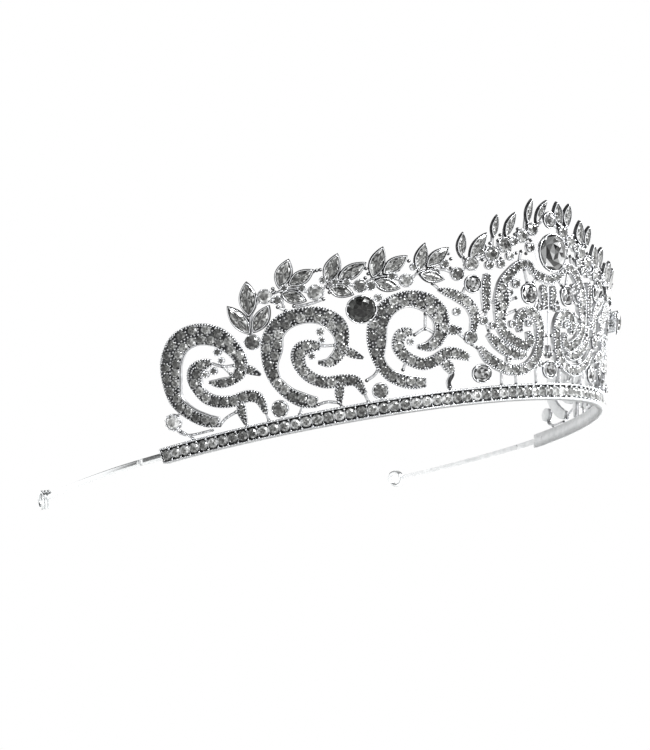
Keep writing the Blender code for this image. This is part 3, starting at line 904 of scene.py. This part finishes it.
# thin wires that hold the motifs together, as (s, h) rows
wires = {
    "outer_scroll_1": (
        ((-77.9, 19.0), (-75.5, 17.6), (-73.0, 17.2)),
        ((-75.5, 17.6), (-74.2, 15.6)),
        ((-79.6, 5.2), (-77.8, 6.4), (-75.2, 7.2)),
    ),
    "outer_scroll_2": (
        ((-57.2, 5.0), (-55.2, 5.2), (-52.9, 4.6)),
        ((-60.6, 5.4), (-61.6, 3.7)),
        ((-55.6, 17.9), (-53.9, 17.3), (-51.6, 17.0)),
        ((-46.2, 8.3), (-44.4, 9.2), (-43.4, 10.4)),
        ((-61.4, 27.4), (-60.0, 26.3)),
        ((-58.2, 26.9), (-56.8, 26.7), (-54.6, 26.8), (-52.2, 27.2)),
    ),
    "outer_scroll_3": (
        ((-34.8, 16.6), (-32.4, 17.6), (-30.4, 16.4)),
        ((-32.4, 17.6), (-32.0, 20.8)),
    ),
    "inner_scroll_1": (((-73.7, 4.4), (-73.5, 3.7)), ((-68.7, 5.6), (-68.5, 3.7))),
    "inner_scroll_2": (((-52.6, 4.4), (-52.4, 3.7)), ((-47.1, 5.6), (-46.6, 3.7))),
    "inner_scroll_3": (((-28.2, 4.4), (-28.0, 3.7)), ((-37.2, 11.2), (-38.2, 9.4))),
    "j_scroll": (
        ((-10.6, 6.2), (-10.6, 3.7)),
        ((-4.4, 7.4), (-4.2, 3.7)),
        ((-14.6, 7.2), (-14.8, 3.7)),
        ((-2.2, 14.6), (-0.9, 14.6)),
        ((-2.2, 11.0), (-1.0, 10.2)),
        ((-4.6, 20.4), (-3.4, 22.4)),
    ),
    "s_scroll": (
        ((-15.2, 22.0), (-17.2, 22.4)),
        ((-12.0, 22.4), (-10.0, 23.0)),
        ((-6.6, 26.4), (-7.4, 29.4)),
        ((-13.6, 14.0), (-14.4, 12.6)),
        ((-10.2, 20.2), (-12.8, 19.4)),
        ((-8.8, 31.2), (-8.2, 33.4)),
        ((-4.9, 26.4), (-3.8, 27.4)),
    ),
    "arch_row": (
        ((-20.4, 19.4), (-18.6, 20.4)),
        ((-23.6, 14.6), (-25.4, 16.2)),
        ((-28.4, 25.8), (-29.8, 27.2)),
        ((-23.4, 24.4), (-22.2, 26.6)),
        ((-22.0, 13.2), (-20.8, 12.4)),
    ),
    "bar_row": (((-18.6, 26.6), (-19.6, 26.4)), ((-18.0, 20.2), (-18.2, 18.2), (-17.6, 16.0))),
}
seats = {
    "arch_row": ((-22.1, 14.7, 1.6), (-25.0, 20.6, 0.95)),
    "bar_row": ((-16.6, 30.4, 1.05), (-18.7, 18.2, 1.0)),
    "s_scroll": (
        (-9.9, 26.2, 1.1),
        (-11.6, 24.2, 0.85),
        (-11.3, 32.3, 1.0),
        (-13.7, 30.6, 1.05),
        (-11.2, 17.2, 0.95),
        (-16.4, 17.0, 0.9),
    ),
    "j_scroll": ((-6.5, 17.3, 0.85), (-2.9, 21.0, 0.95), (-12.6, 9.4, 0.7), (-2.7, 8.1, 0.75)),
    "outer_scroll_1": ((-75.7, 20.9, 0.9), (-75.4, 18.9, 0.75)),
    "outer_scroll_2": ((-54.0, 20.4, 0.9), (-54.0, 18.6, 0.75)),
    "inner_scroll_1": ((-77.6, 17.1, 0.9), (-79.6, 16.8, 0.85)),
    "inner_scroll_2": ((-56.6, 15.6, 0.8),),
    "inner_scroll_3": ((-35.9, 15.2, 0.8),),
}


def addMotif(name, ribbons):
    metal, stones = Sketch(), Sketch()
    for ribbon in ribbons:
        smoothSide = -1 if name.startswith("outer_scroll") and ribbon is ribbons[0] else 0
        path, places, side = addRibbon(metal, ribbon, smoothSide)
        fillRibbon(metal, stones, path, places, side)
    for points in wires.get(name, ()):
        addGrainedWire(metal, points)
    for s, h, radius in seats.get(name, ()):
        addSeat(metal, stones, s, h, radius - 0.25)
    addBothSides(name, metal, stones)


def addBothSides(name, metal, stones):
    for side, mirror in (("left", False), ("right", True)):
        node = f"{name}_{side}"
        mesh = sketchMesh(node + "_cast", metal, metals, mirror)
        addPiece(node + "_cast", mesh, "front", (node,))
        if stones.count:
            mesh = sketchMesh(node + "_stones", stones, (rhinestone,), mirror)
            addPiece(node + "_stones", mesh, "front")


for name, ribbons in scrolls.items():
    addMotif(name, ribbons)
print("scrolls made")

# vine: stem, leaves from base to tip, round seats
vine = {
    "vine_spray_1": {
        "stems": (((-68.0, 21.4), (-67.7, 25.0), (-66.2, 28.4), (-63.6, 30.3), (-60.8, 30.6)),),
        "leaves": (
            ((-68.1, 23.0), (-71.1, 29.9), 3.1),
            ((-67.4, 26.8), (-66.3, 34.1), 3.4),
            ((-67.3, 23.2), (-62.9, 28.1), 3.1),
        ),
        "seats": ((-68.0, 21.2, 1.75), (-63.5, 30.2, 1.65)),
        "beads": ((-68.2, 23.4), (-67.6, 27.0), (-61.8, 30.7), (-61.6, 31.5), (-66.6, 25.0)),
    },
    "vine_spray_2": {
        "stems": (
            ((-60.8, 30.6), (-57.6, 30.6), (-53.6, 28.7), (-51.6, 29.6)),
            ((-60.2, 29.8), (-60.3, 26.9)),
        ),
        "leaves": (
            ((-60.4, 31.3), (-57.4, 36.9), 3.3),
            ((-58.4, 31.5), (-53.1, 33.7), 3.0),
            ((-60.2, 30.2), (-55.6, 27.5), 2.9),
        ),
        "seats": ((-53.5, 28.9, 1.75), (-59.4, 31.1, 0.8), (-61.2, 28.9, 1.0), (-56.0, 30.4, 0.9)),
        "beads": (
            (-53.2, 33.4),
            (-52.5, 33.5),
            (-51.8, 33.5),
            (-61.5, 30.8),
            (-61.5, 29.3),
            (-62.3, 28.8),
        ),
    },
    "vine_spray_3": {
        "stems": (((-51.6, 29.8), (-48.4, 30.0), (-44.8, 28.7), (-42.4, 29.6)),),
        "leaves": (
            ((-50.9, 30.4), (-48.1, 36.2), 3.3),
            ((-48.8, 30.6), (-43.0, 33.4), 3.1),
            ((-50.9, 29.6), (-46.3, 27.1), 2.9),
        ),
        "seats": ((-44.6, 28.7, 1.5), (-49.4, 30.4, 0.8), (-51.6, 31.2, 0.85), (-47.2, 29.9, 0.9)),
        "beads": (
            (-51.2, 31.2),
            (-51.0, 29.5),
            (-50.8, 28.4),
            (-43.0, 32.2),
            (-42.7, 31.0),
            (-43.4, 30.2),
        ),
    },
    "vine_spray_4": {
        "stems": (((-42.4, 29.8), (-39.2, 30.0), (-35.3, 28.4), (-33.2, 29.4)),),
        "leaves": (
            ((-42.0, 30.0), (-39.3, 36.2), 3.3),
            ((-39.8, 30.6), (-34.8, 33.7), 3.0),
            ((-41.8, 29.2), (-37.0, 27.0), 2.9),
        ),
        "seats": ((-35.3, 28.5, 1.5), (-42.6, 28.4, 1.1), (-41.4, 25.6, 0.9), (-38.2, 29.8, 0.9)),
        "beads": ((-34.3, 32.6), (-33.9, 31.4), (-40.4, 30.4), (-37.2, 29.8), (-36.6, 31.0)),
    },
    "vine_spray_5": {
        "stems": (((-33.2, 29.6), (-30.0, 30.3), (-26.8, 30.0), (-24.2, 28.8), (-22.2, 30.0)),),
        "leaves": (
            ((-32.6, 30.0), (-30.9, 36.0), 3.0),
            ((-30.8, 30.9), (-26.1, 34.6), 3.0),
            ((-32.4, 29.6), (-27.6, 27.9), 2.7),
        ),
        "seats": ((-24.2, 28.8, 1.5), (-26.9, 31.2, 1.0), (-33.4, 31.2, 0.85), (-29.0, 29.6, 0.9)),
        "beads": ((-25.9, 33.4), (-25.4, 32.2), (-25.6, 30.2), (-30.6, 30.4), (-29.2, 30.2)),
    },
    "crest_vine": {
        "stems": (
            (
                (-22.6, 30.6),
                (-20.8, 31.0),
                (-16.0, 33.0),
                (-12.7, 34.9),
                (-8.0, 37.0),
                (-5.0, 38.6),
                (-1.8, 40.4),
            ),
            ((-22.2, 31.0), (-23.0, 34.4)),
            ((-15.6, 33.2), (-15.2, 38.2)),
            ((-12.6, 35.2), (-12.2, 38.6)),
            ((-7.0, 37.6), (-6.4, 41.8)),
            ((-7.9, 37.6), (-5.6, 34.3)),
        ),
        "leaves": (
            ((-23.1, 32.4), (-22.8, 37.7), 2.4),
            ((-21.2, 31.6), (-17.5, 37.4), 2.9),
            ((-15.3, 36.4), (-14.8, 41.3), 2.0),
            ((-12.3, 36.6), (-10.3, 41.9), 2.5),
            ((-6.4, 39.8), (-5.9, 45.1), 2.2),
            ((-3.9, 39.9), (-1.6, 45.1), 2.4),
        ),
        "seats": (
            (-20.8, 30.9, 1.6),
            (-15.9, 32.9, 1.75),
            (-12.6, 34.8, 1.75),
            (-7.8, 36.9, 1.6),
            (-5.0, 38.5, 1.5),
            (-5.6, 34.4, 1.1),
            (-18.7, 33.6, 1.1),
            (-10.2, 35.6, 1.0),
        ),
        "beads": (
            (-22.4, 32.2),
            (-19.6, 32.4),
            (-18.2, 31.6),
            (-17.4, 34.6),
            (-16.2, 35.2),
            (-14.2, 35.8),
            (-13.6, 37.0),
            (-11.4, 36.4),
            (-9.8, 37.2),
            (-9.0, 38.4),
            (-6.2, 36.4),
            (-5.4, 36.0),
            (-3.4, 39.4),
            (-6.4, 39.6),
            (-11.2, 33.8),
            (-14.0, 32.8),
            (-13.6, 31.8),
            (-9.6, 33.0),
            (-6.8, 33.0),
        ),
    },
}


def addSpray(name, plan):
    metal, stones = Sketch(), Sketch()
    for stem in plan["stems"]:
        # stems in the mid-grey painted shade
        addWire(metal, stem, 0.36, out=-0.3, slot=2)
    for base, tip, width in plan["leaves"]:
        addLeaf(metal, stones, base, tip, width)
    for s, h, radius in plan["seats"]:
        addSeat(metal, stones, s, h, radius - 0.22)
    # dark beads as painted dark reflections, each with a small bright bead on it as a painted
    # highlight
    for s, h in plan["beads"]:
        addBeads(metal, [(s, h, 0.1)], 0.42, slot=1)
        addBeads(metal, [(s + 0.08, h + 0.08, 0.36)], 0.2)
    addBothSides(name, metal, stones)


for name, plan in vine.items():
    addSpray(name, plan)
print("vine made")

endSeat = {
    "wires": (
        ((-90.3, 7.4), (-89.4, 5.6), (-86.6, 4.7), (-81.6, 4.6)),
        ((-89.2, 6.2), (-86.8, 3.9)),
        ((-89.2, 9.6), (-87.6, 10.2)),
    ),
    "seat": (-90.3, 8.5, 1.7),
}


def addEndSeat():
    metal, stones = Sketch(), Sketch()
    for points in endSeat["wires"]:
        addGrainedWire(metal, points, 0.28)
    addSeat(metal, stones, *endSeat["seat"], claws=10, shade=0.25)
    addBothSides("end_seat", metal, stones)


addEndSeat()
print("end seats made")


# centre pieces on the axis of symmetry


def addCentrePiece(name, ribbons, extraWires=()):
    metal, stones = Sketch(), Sketch()
    for ribbon in ribbons:
        path, places, side = addRibbon(metal, ribbon)
        fillRibbon(metal, stones, path, places, side)
    for points in extraWires:
        addWire(metal, points, 0.32)
    mesh = sketchMesh(name + "_cast", metal, metals)
    addPiece(name + "_cast", mesh, "front", (name,))
    if stones.count:
        mesh = sketchMesh(name + "_stones", stones, (rhinestone,))
        addPiece(name + "_stones", mesh, "front")


addCentrePiece(
    "centre_column",
    (((0.0, 9.4, 0.5), (0.0, 11.0, 1.1), (0.0, 12.4, 0.5)),),
    (((0.0, 10.0, 0.1), (0.0, 15.0, 0.1), (0.0, 20.4, 0.1)),),
)
addCentrePiece(
    "centre_fleur",
    (
        (
            (-4.6, 29.2, 1.0),
            (-3.2, 28.2, 1.9),
            (0.0, 27.3, 2.0),
            (3.2, 28.2, 1.9),
            (4.6, 29.2, 1.0),
        ),
        ((-1.5, 26.0, 0.9), (-1.6, 24.8, 2.0), (-1.4, 22.8, 1.9), (-0.8, 20.6, 0.9)),
        ((1.5, 26.0, 0.9), (1.6, 24.8, 2.0), (1.4, 22.8, 1.9), (0.8, 20.6, 0.9)),
    ),
    (((-1.5, 26.0), (-2.4, 27.4)), ((1.5, 26.0), (2.4, 27.4)), ((0.0, 20.2), (0.0, 27.0))),
)


# large cut stones, each in a cup with claws


largeStones = {
    "centre_stone": {"s": 0.0, "h": 33.4, "radius": 4.05, "out": 1.7, "stretch": 1.0},
    "top_stone": {"s": 0.0, "h": 40.9, "radius": 1.6, "out": 0.7, "stretch": 1.0},
    "foot_stone": {"s": 0.0, "h": 6.8, "radius": 1.75, "out": 0.7, "stretch": 1.2},
    "drop_stone": {"s": -20.1, "h": 6.6, "radius": 1.8, "out": 0.7, "stretch": 1.2},
    "eye_stone": {"s": -21.0, "h": 26.4, "radius": 1.7, "out": 0.7, "stretch": 1.0},
    "heart_stone": {"s": -6.4, "h": 24.0, "radius": 2.1, "out": 0.7, "stretch": 1.0},
    "stud_stone_1": {"s": -65.4, "h": 5.8, "radius": 1.6, "out": 0.9, "stretch": 1.0},
    "stud_stone_2": {"s": -43.7, "h": 5.6, "radius": 1.5, "out": 0.9, "stretch": 1.0},
    "medallion": {"s": -45.4, "h": 23.7, "radius": 2.75, "out": 3.0, "stretch": 1.0},
}


def addCup(metal, s, h, radius, out, stretch, claws):
    turns = np.arange(28) * 2 * pi / 28
    section = (
        (radius * 0.6, cast["back"]),
        (radius * 0.85, cast["back"]),
        (radius + 0.34, out - 0.6),
        (radius + 0.36, out - 0.3),
        (radius + 0.32, out + 0.02),
        (radius + 0.22, out + 0.12),
        (radius + 0.12, out + 0.1),
        (radius + 0.02, out - 0.25),
        (radius * 0.5, out - 0.75),
    )
    rows = np.array([
        [(s + stretch * r * cos(t), h + r * sin(t), level) for t in turns]
        for r, level in section
    ])
    # near-white painted light on the back, a dark band of painted shade round the outer wall and
    # inside the rim, bright plating elsewhere
    loft(metal, rows, [0] * len(turns), slotSteps=(3, 0, 0, 1, 0, 0, 1, 1))
    angles = pi / 4 + np.arange(claws) * 2 * pi / claws
    for angle in angles:
        reach = radius + 0.08
        place = (s + stretch * reach * cos(angle), h + reach * sin(angle), out + 0.16)
        addBeads(metal, [place], 0.3 if radius < 3 else 0.38, tall=1.5)


# rings of the cut as (reach, rise); shades are painted facet reflections, running from the middle
# out to the girdle
cutTiers = ((0.0, 0.36), (0.34, 0.36), (0.62, 0.3), (0.84, 0.17), (1.0, 0.0), (1.0, -0.3))
largeCuts = {
    "crystal": {"fold": 7, "shades": (0.24, 0.26, 0.28, 0.46, 0.4), "spread": 0.36, "claws": 4},
    "stud": {"fold": 12, "shades": (0.22, 0.34, 0.42, 0.55, 0.4), "spread": 0.22, "claws": 8},
    "medallion": {"fold": 16, "shades": (0.05, 0.14, 0.24, 0.36, 0.2), "spread": 0.2, "claws": 10},
}


def addLargeCut(stone, plan, cut):
    fold = cut["fold"]
    points = [(0.0, 0.0, cutTiers[0][1])]
    for tier, (reach, rise) in enumerate(cutTiers[1:]):
        for k in range(fold):
            turn = (k + tier * 0.5) * 2 * pi / fold
            points.append((reach * cos(turn), reach * sin(turn), rise))
    faces, tones = [], []
    for k in range(fold):
        n = (k + 1) % fold
        faces.append((0, 1 + k, 1 + n))
        tones.append(cut["shades"][0] + cut["spread"] * random.uniform(-1, 1))
        for tier in range(len(cutTiers) - 2):
            low, high = 1 + tier * fold, 1 + (tier + 1) * fold
            faces += [(low + k, high + k, low + n), (low + n, high + k, high + n)]
            tones += list(cut["shades"][tier + 1] + cut["spread"] * random.uniform(-1, 1, 2))
    last = len(points) - fold
    faces.append(tuple(last + k for k in reversed(range(fold))))
    tones.append(0.3)
    scale = (plan["radius"] * plan["stretch"], plan["radius"], plan["radius"])
    points = np.array(points) * scale + (plan["s"], plan["h"], plan["out"])
    stone.add(points, faces, 0, np.clip(tones, 0, 1), smooth=False)


def addLargeStone(name, plan):
    metal, stone = Sketch(), Sketch()
    kind = name.split("_")[0] if name.startswith(("stud", "medallion")) else "crystal"
    cut = largeCuts[kind]
    addCup(metal, plan["s"], plan["h"], plan["radius"], plan["out"], plan["stretch"], cut["claws"])
    addLargeCut(stone, plan, cut)
    look = {"crystal": crystal, "stud": rhinestone, "medallion": smoky}[kind]
    sides = (("", False),) if plan["s"] == 0.0 else (("_left", False), ("_right", True))
    for side, mirror in sides:
        node = name + side
        mesh = sketchMesh(node + "_cut", stone, (look,), mirror)
        addPiece(node + "_cut", mesh, "front", (node,))
        mesh = sketchMesh(node + "_cup", metal, metals, mirror)
        nodes = ("centre_collet",) if name == "centre_stone" else ()
        addPiece(node + "_cup", mesh, "front", nodes)


for name, plan in largeStones.items():
    addLargeStone(name, plan)
print("large stones made")


# stone-set band


def addBand():
    metal, stones = Sketch(), Sketch()
    back = -band["thickness"] / 2
    face = band["thickness"] / 2
    floor = face - 0.6
    top = band["height"]
    rim = band["rim"]
    foot = tan(radians(ring["lean"]))  # the underside is level although the wall leans
    section = (
        (back, back * foot),
        (back, top),
        (face - 0.1, top),
        (face, top - 0.1),
        (face, top - rim + 0.08),
        (face - 0.1, top - rim),
        (floor, top - rim),
        (floor, rim + 0.1),
        (face - 0.1, rim + 0.1),
        (face, rim + 0.02),
        (face, face * foot + 0.1),
        (face - 0.1, (face - 0.1) * foot),
    )
    lengths = np.linspace(-bandHalf, bandHalf, 161)
    rows = np.array([[(length, h, out) for out, h in section] for length in lengths])
    # dark painted shade in the stone channel, mid-grey painted shade on the front faces of the
    # rims, near-white painted light on the back and underside
    slots = [0] * len(section)
    slots[3] = slots[9] = 2
    slots[5] = slots[6] = slots[7] = 1
    slots[0] = slots[11] = 3
    loft(metal, rows, slots)
    middle = top / 2
    pitch = 2 * bandHalf / band["stoneCount"]
    for k in range(band["stoneCount"]):
        s = -bandHalf + (k + 0.5) * pitch
        addStone(stones, s, middle, floor + 0.32, band["stoneRadius"], 0.1)
        if k:
            edge = s - pitch / 2
            web = ballPoints * (0.1, middle - rim, 0.3)
            metal.add(web + (edge, middle, floor + 0.12), ballFaces)
            for h in (rim + 0.26, top - rim - 0.26):
                addBeads(metal, [(edge, h, floor + 0.5)], 0.27, tall=1.4)
    count = int(2 * bandHalf / band["beadStep"])
    for s in np.linspace(-bandHalf + 0.2, bandHalf - 0.2, count):
        addBeads(metal, [(s, 0.38, face)], band["beadRadius"] * 0.85)
        addBeads(metal, [(s, top - rim * 0.45, face)], band["beadRadius"])
    # dark knobs as painted dark reflections, each with a small bright bead in front as a painted
    # highlight
    for s in (-bandHalf, bandHalf):
        for h in np.linspace(0.6, top - 0.45, 5):
            addBeads(metal, [(s, h, face - 0.1)], 0.34, slot=1)
            addBeads(metal, [(s, h, face + 0.15)], 0.2)
    mesh = sketchMesh("base_band_channel", metal, metals)
    addPiece("base_band_channel", mesh, "front", ("base_band",))
    mesh = sketchMesh("base_band_stones", stones, (rhinestone,))
    addPiece("base_band_stones", mesh, "front")


addBand()
print("band made")


# springy arms and their wire eyes

arm = {
    "rootHeight": 1.6,
    "tipHeight": 1.2,
    "thickness": 0.9,
    "pivotShare": 0.15,
    "gap": 0.3,
    "loopRadius": 2.05,
    "wire": 0.42,
    "turns": 3,
}


def armCentre(length):
    share = (length - bandHalf) / (armEnd - bandHalf)
    root = band["height"] / 2
    return root + share * (arm["loopRadius"] + 0.55 - root)


def armRows(lengths):
    turns = np.arange(12) * 2 * pi / 12
    rows = []
    for length in lengths:
        share = (length - bandHalf) / (armEnd - bandHalf)
        tall = (arm["rootHeight"] + share * (arm["tipHeight"] - arm["rootHeight"])) / 2
        thick = arm["thickness"] / 2
        row = []
        for turn in turns:
            c, w = cos(turn), sin(turn)
            reach = (abs(c) ** 0.5) * (1 if c > 0 else -1) * thick
            rise = (abs(w) ** 0.5) * (1 if w > 0 else -1) * tall
            row.append((-length, armCentre(length) + rise, reach))
        rows.append(row)
    return rows


def addArms():
    reach = armEnd - bandHalf
    pivot = bandHalf + arm["pivotShare"] * reach
    stub, moving = Sketch(), Sketch()
    # the inner half of each strip takes the near-white painted light
    sides = [0, 0, 0, 1, 1, 1, 1, 1, 1, 0, 0, 0]
    loft(stub, armRows(np.linspace(bandHalf - 4.0, pivot - arm["gap"] * 0.4, 10)), sides)
    loft(moving, armRows(np.linspace(pivot + arm["gap"] * 0.4, armEnd + 0.6, 60)), sides)
    coil = Sketch()
    middle = armEnd + arm["gap"] + arm["loopRadius"] + 0.55
    steps = 36 * arm["turns"]
    turns = np.linspace(0.0, 2 * pi * arm["turns"], steps)
    spread = (turns / turns[-1] - 0.5) * 2 * arm["wire"] * (arm["turns"] - 0.1)
    path = np.column_stack([
        -middle + arm["loopRadius"] * np.cos(turns),
        arm["loopRadius"] + 0.55 + arm["loopRadius"] * np.sin(turns),
        spread,
    ])
    run = np.gradient(path, axis=0)
    run /= np.linalg.norm(run, axis=1)[:, None]
    side = np.cross(run, (0.0, 0.0, 1.0))
    side /= np.linalg.norm(side, axis=1)[:, None]
    up = np.cross(side, run)
    around = np.arange(8) * 2 * pi / 8
    rows = path[:, None] + arm["wire"] * (
        side[:, None] * np.cos(around)[None, :, None] + up[:, None] * np.sin(around)[None, :, None]
    )
    loft(coil, rows[:, ::-1], [0] * 8)
    for side, mirror in (("left", False), ("right", True)):
        mesh = sketchMesh(f"arm_root_{side}_strip", stub, (strip, paintedLightBack), mirror, 0.0)
        addPiece(f"arm_root_{side}_strip", mesh, "front", (f"arm_root_{side}",))
        mesh = sketchMesh(f"arm_{side}_strip", moving, (strip, paintedLightBack), mirror, 0.0)
        addPiece(f"arm_{side}_strip", mesh, f"{side}_arm", (f"arm_{side}",))
        mesh = sketchMesh(f"loop_{side}_coil", coil, (strip,), mirror, 0.0)
        addPiece(f"loop_{side}_coil", mesh, f"{side}_arm", (f"loop_{side}",))


addArms()
print("arms made")


# stage: pale floor that fades out and is seen from above only, soft studio surround, camera

stage = {"floor": "#f1f1f0", "floorSize": 1.4, "drop": 0.0004, "fadeFrom": 0.12, "fadeTo": 0.4}


def addFloor():
    half = stage["floorSize"] / 2
    mesh = bpy.data.meshes.new("floor")
    z = cadBounds[0].z - stage["drop"]
    corners = [(-half, -half, z), (half, -half, z), (half, half, z), (-half, half, z)]
    mesh.from_pydata(corners, [], [(0, 1, 2, 3)])
    floor = bpy.data.objects.new("floor", mesh)
    bpy.context.scene.collection.objects.link(floor)
    material, tree, shader = newMaterial("paleStudioPaper")
    shader.inputs["Base Color"].default_value = hexColor(stage["floor"])
    shader.inputs["Roughness"].default_value = 0.8
    clear = addNode(tree, "ShaderNodeBsdfTransparent")
    place = addNode(tree, "ShaderNodeNewGeometry")
    reach = addNode(
        tree,
        "ShaderNodeVectorMath",
        {"operation": "LENGTH"},
        {0: place.outputs["Position"]},
    )
    fade = addNode(
        tree,
        "ShaderNodeMapRange",
        {
            "interpolation_type": "SMOOTHSTEP",
            "From Min": stage["fadeFrom"],
            "From Max": stage["fadeTo"],
        },
        {"Value": reach.outputs["Value"]},
    )
    hidden = addNode(
        tree,
        "ShaderNodeMath",
        {"operation": "MAXIMUM"},
        {0: place.outputs["Backfacing"], 1: fade.outputs["Result"]},
    )
    mix = addNode(tree, "ShaderNodeMixShader", {}, {0: hidden.outputs["Value"]})
    tree.links.new(shader.outputs["BSDF"], mix.inputs[1])
    tree.links.new(clear.outputs["BSDF"], mix.inputs[2])
    tree.links.new(mix.outputs["Shader"], tree.nodes["Material Output"].inputs["Surface"])
    mesh.materials.append(material)


view = {
    "azimuth": 45.58,
    "elevation": 3.09,
    "pitch": 14.68,
    "distance": 406.2,
    "focalPixels": 1529.8,
    "centreX": 321.4,
    "centreY": 471.4,
}
imageSize = (650, 750)


def addCamera():
    al, el, pitch = (radians(view[key]) for key in ("azimuth", "elevation", "pitch"))
    ahead = np.array([cos(al) * cos(el), sin(al) * cos(el), -sin(el)])
    right = np.array([sin(al), -cos(al), 0.0])
    up = np.cross(right, ahead)
    level = np.array([
        [1.0, 0.0, 0.0],
        [0.0, cos(pitch), -sin(pitch)],
        [0.0, sin(pitch), cos(pitch)],
    ])
    ahead, right, up = level @ ahead, level @ right, level @ up
    centre = np.array([0.0, ringCentreY, 0.0])
    spot = (centre - ahead * view["distance"]) * 0.001
    data = bpy.data.cameras.new("camera")
    camera = bpy.data.objects.new("camera", data)
    bpy.context.scene.collection.objects.link(camera)
    matrix = Matrix.Identity(4)
    for row in range(3):
        matrix[row][0] = right[row]
        matrix[row][1] = up[row]
        matrix[row][2] = -ahead[row]
        matrix[row][3] = spot[row]
    camera.matrix_world = matrix
    longSide = max(imageSize)
    data.sensor_width = 36.0
    data.lens = view["focalPixels"] / longSide * data.sensor_width
    data.shift_x = (imageSize[0] / 2 - view["centreX"]) / longSide
    data.shift_y = (view["centreY"] - imageSize[1] / 2) / longSide
    data.clip_start = 0.01
    bpy.context.scene.camera = camera
    return Vector(ahead)


def addSurround(ahead):
    world = bpy.data.worlds.new("softStudio")
    bpy.context.scene.world = world
    world.use_nodes = True
    tree = world.node_tree
    shade = tree.nodes["Background"]
    place = addNode(tree, "ShaderNodeTexCoord")
    away = Vector((ahead.x, ahead.y, 0.0)).normalized()
    forward = addNode(
        tree,
        "ShaderNodeVectorMath",
        {"operation": "DOT_PRODUCT", 1: away},
        {0: place.outputs["Generated"]},
    )
    # +1 is the side behind the object, -1 is the camera's side
    sweep = setRamp(
        addNode(
            tree,
            "ShaderNodeValToRGB",
            {},
            {
                "Fac": addNode(
                    tree,
                    "ShaderNodeMapRange",
                    {"From Min": -1.0, "From Max": 1.0},
                    {"Value": forward.outputs["Value"]},
                ).outputs["Result"]
            },
        ),
        (
            (0.0, grey(0.35)),
            (0.03, grey(0.9)),
            (0.2, grey(1.1)),
            (0.34, grey(0.12)),
            (0.46, grey(0.08)),
            (0.56, grey(1.2)),
            (1.0, grey(1.5)),
        ),
    )
    height = addNode(tree, "ShaderNodeSeparateXYZ", {}, {"Vector": place.outputs["Generated"]})
    ceiling = setRamp(
        addNode(tree, "ShaderNodeValToRGB", {}, {"Fac": height.outputs["Z"]}),
        (
            (0.0, grey(1.0)),
            (0.45, grey(1.0)),
            (0.62, grey(0.06)),
            (0.85, grey(0.06)),
            (0.95, grey(1.6)),
        ),
    )
    both = addNode(
        tree,
        "ShaderNodeMix",
        {"data_type": "RGBA", "blend_type": "MULTIPLY", "Factor": 1.0},
        {6: sweep.outputs["Color"], 7: ceiling.outputs["Color"]},
    )
    # reflections see the bands, soft light is one even grey and the backdrop is white
    rays = addNode(tree, "ShaderNodeLightPath")
    filled = addNode(
        tree,
        "ShaderNodeMix",
        {"data_type": "RGBA", 7: grey(0.72)},
        {0: rays.outputs["Is Diffuse Ray"], 6: both.outputs[2]},
    )
    seen = addNode(
        tree,
        "ShaderNodeMix",
        {"data_type": "RGBA", 7: grey(1.0)},
        {0: rays.outputs["Is Camera Ray"], 6: filled.outputs[2]},
    )
    tree.links.new(seen.outputs[2], shade.inputs["Color"])
    shade.inputs["Strength"].default_value = 1.0


def addLamp(name, spot, target, size, power):
    data = bpy.data.lights.new(name, "AREA")
    data.shape = "DISK"
    data.size = size
    data.energy = power
    lamp = bpy.data.objects.new(name, data)
    bpy.context.scene.collection.objects.link(lamp)
    lamp.location = spot
    lamp.rotation_euler = (Vector(target) - Vector(spot)).to_track_quat("-Z", "Y").to_euler()
    lamp.visible_camera = False


addFloor()
ahead = addCamera()
addSurround(ahead)
addLamp("keyLamp", (-0.1, -1.0, 0.6), (0.0, 0.0, 0.02), 0.5, 9.0)
addLamp("sideLamp", (0.9, -0.5, 0.4), (0.0, 0.0, 0.02), 0.4, 16.0)
bpy.context.scene.view_settings.view_transform = "Standard"
print("stage made")
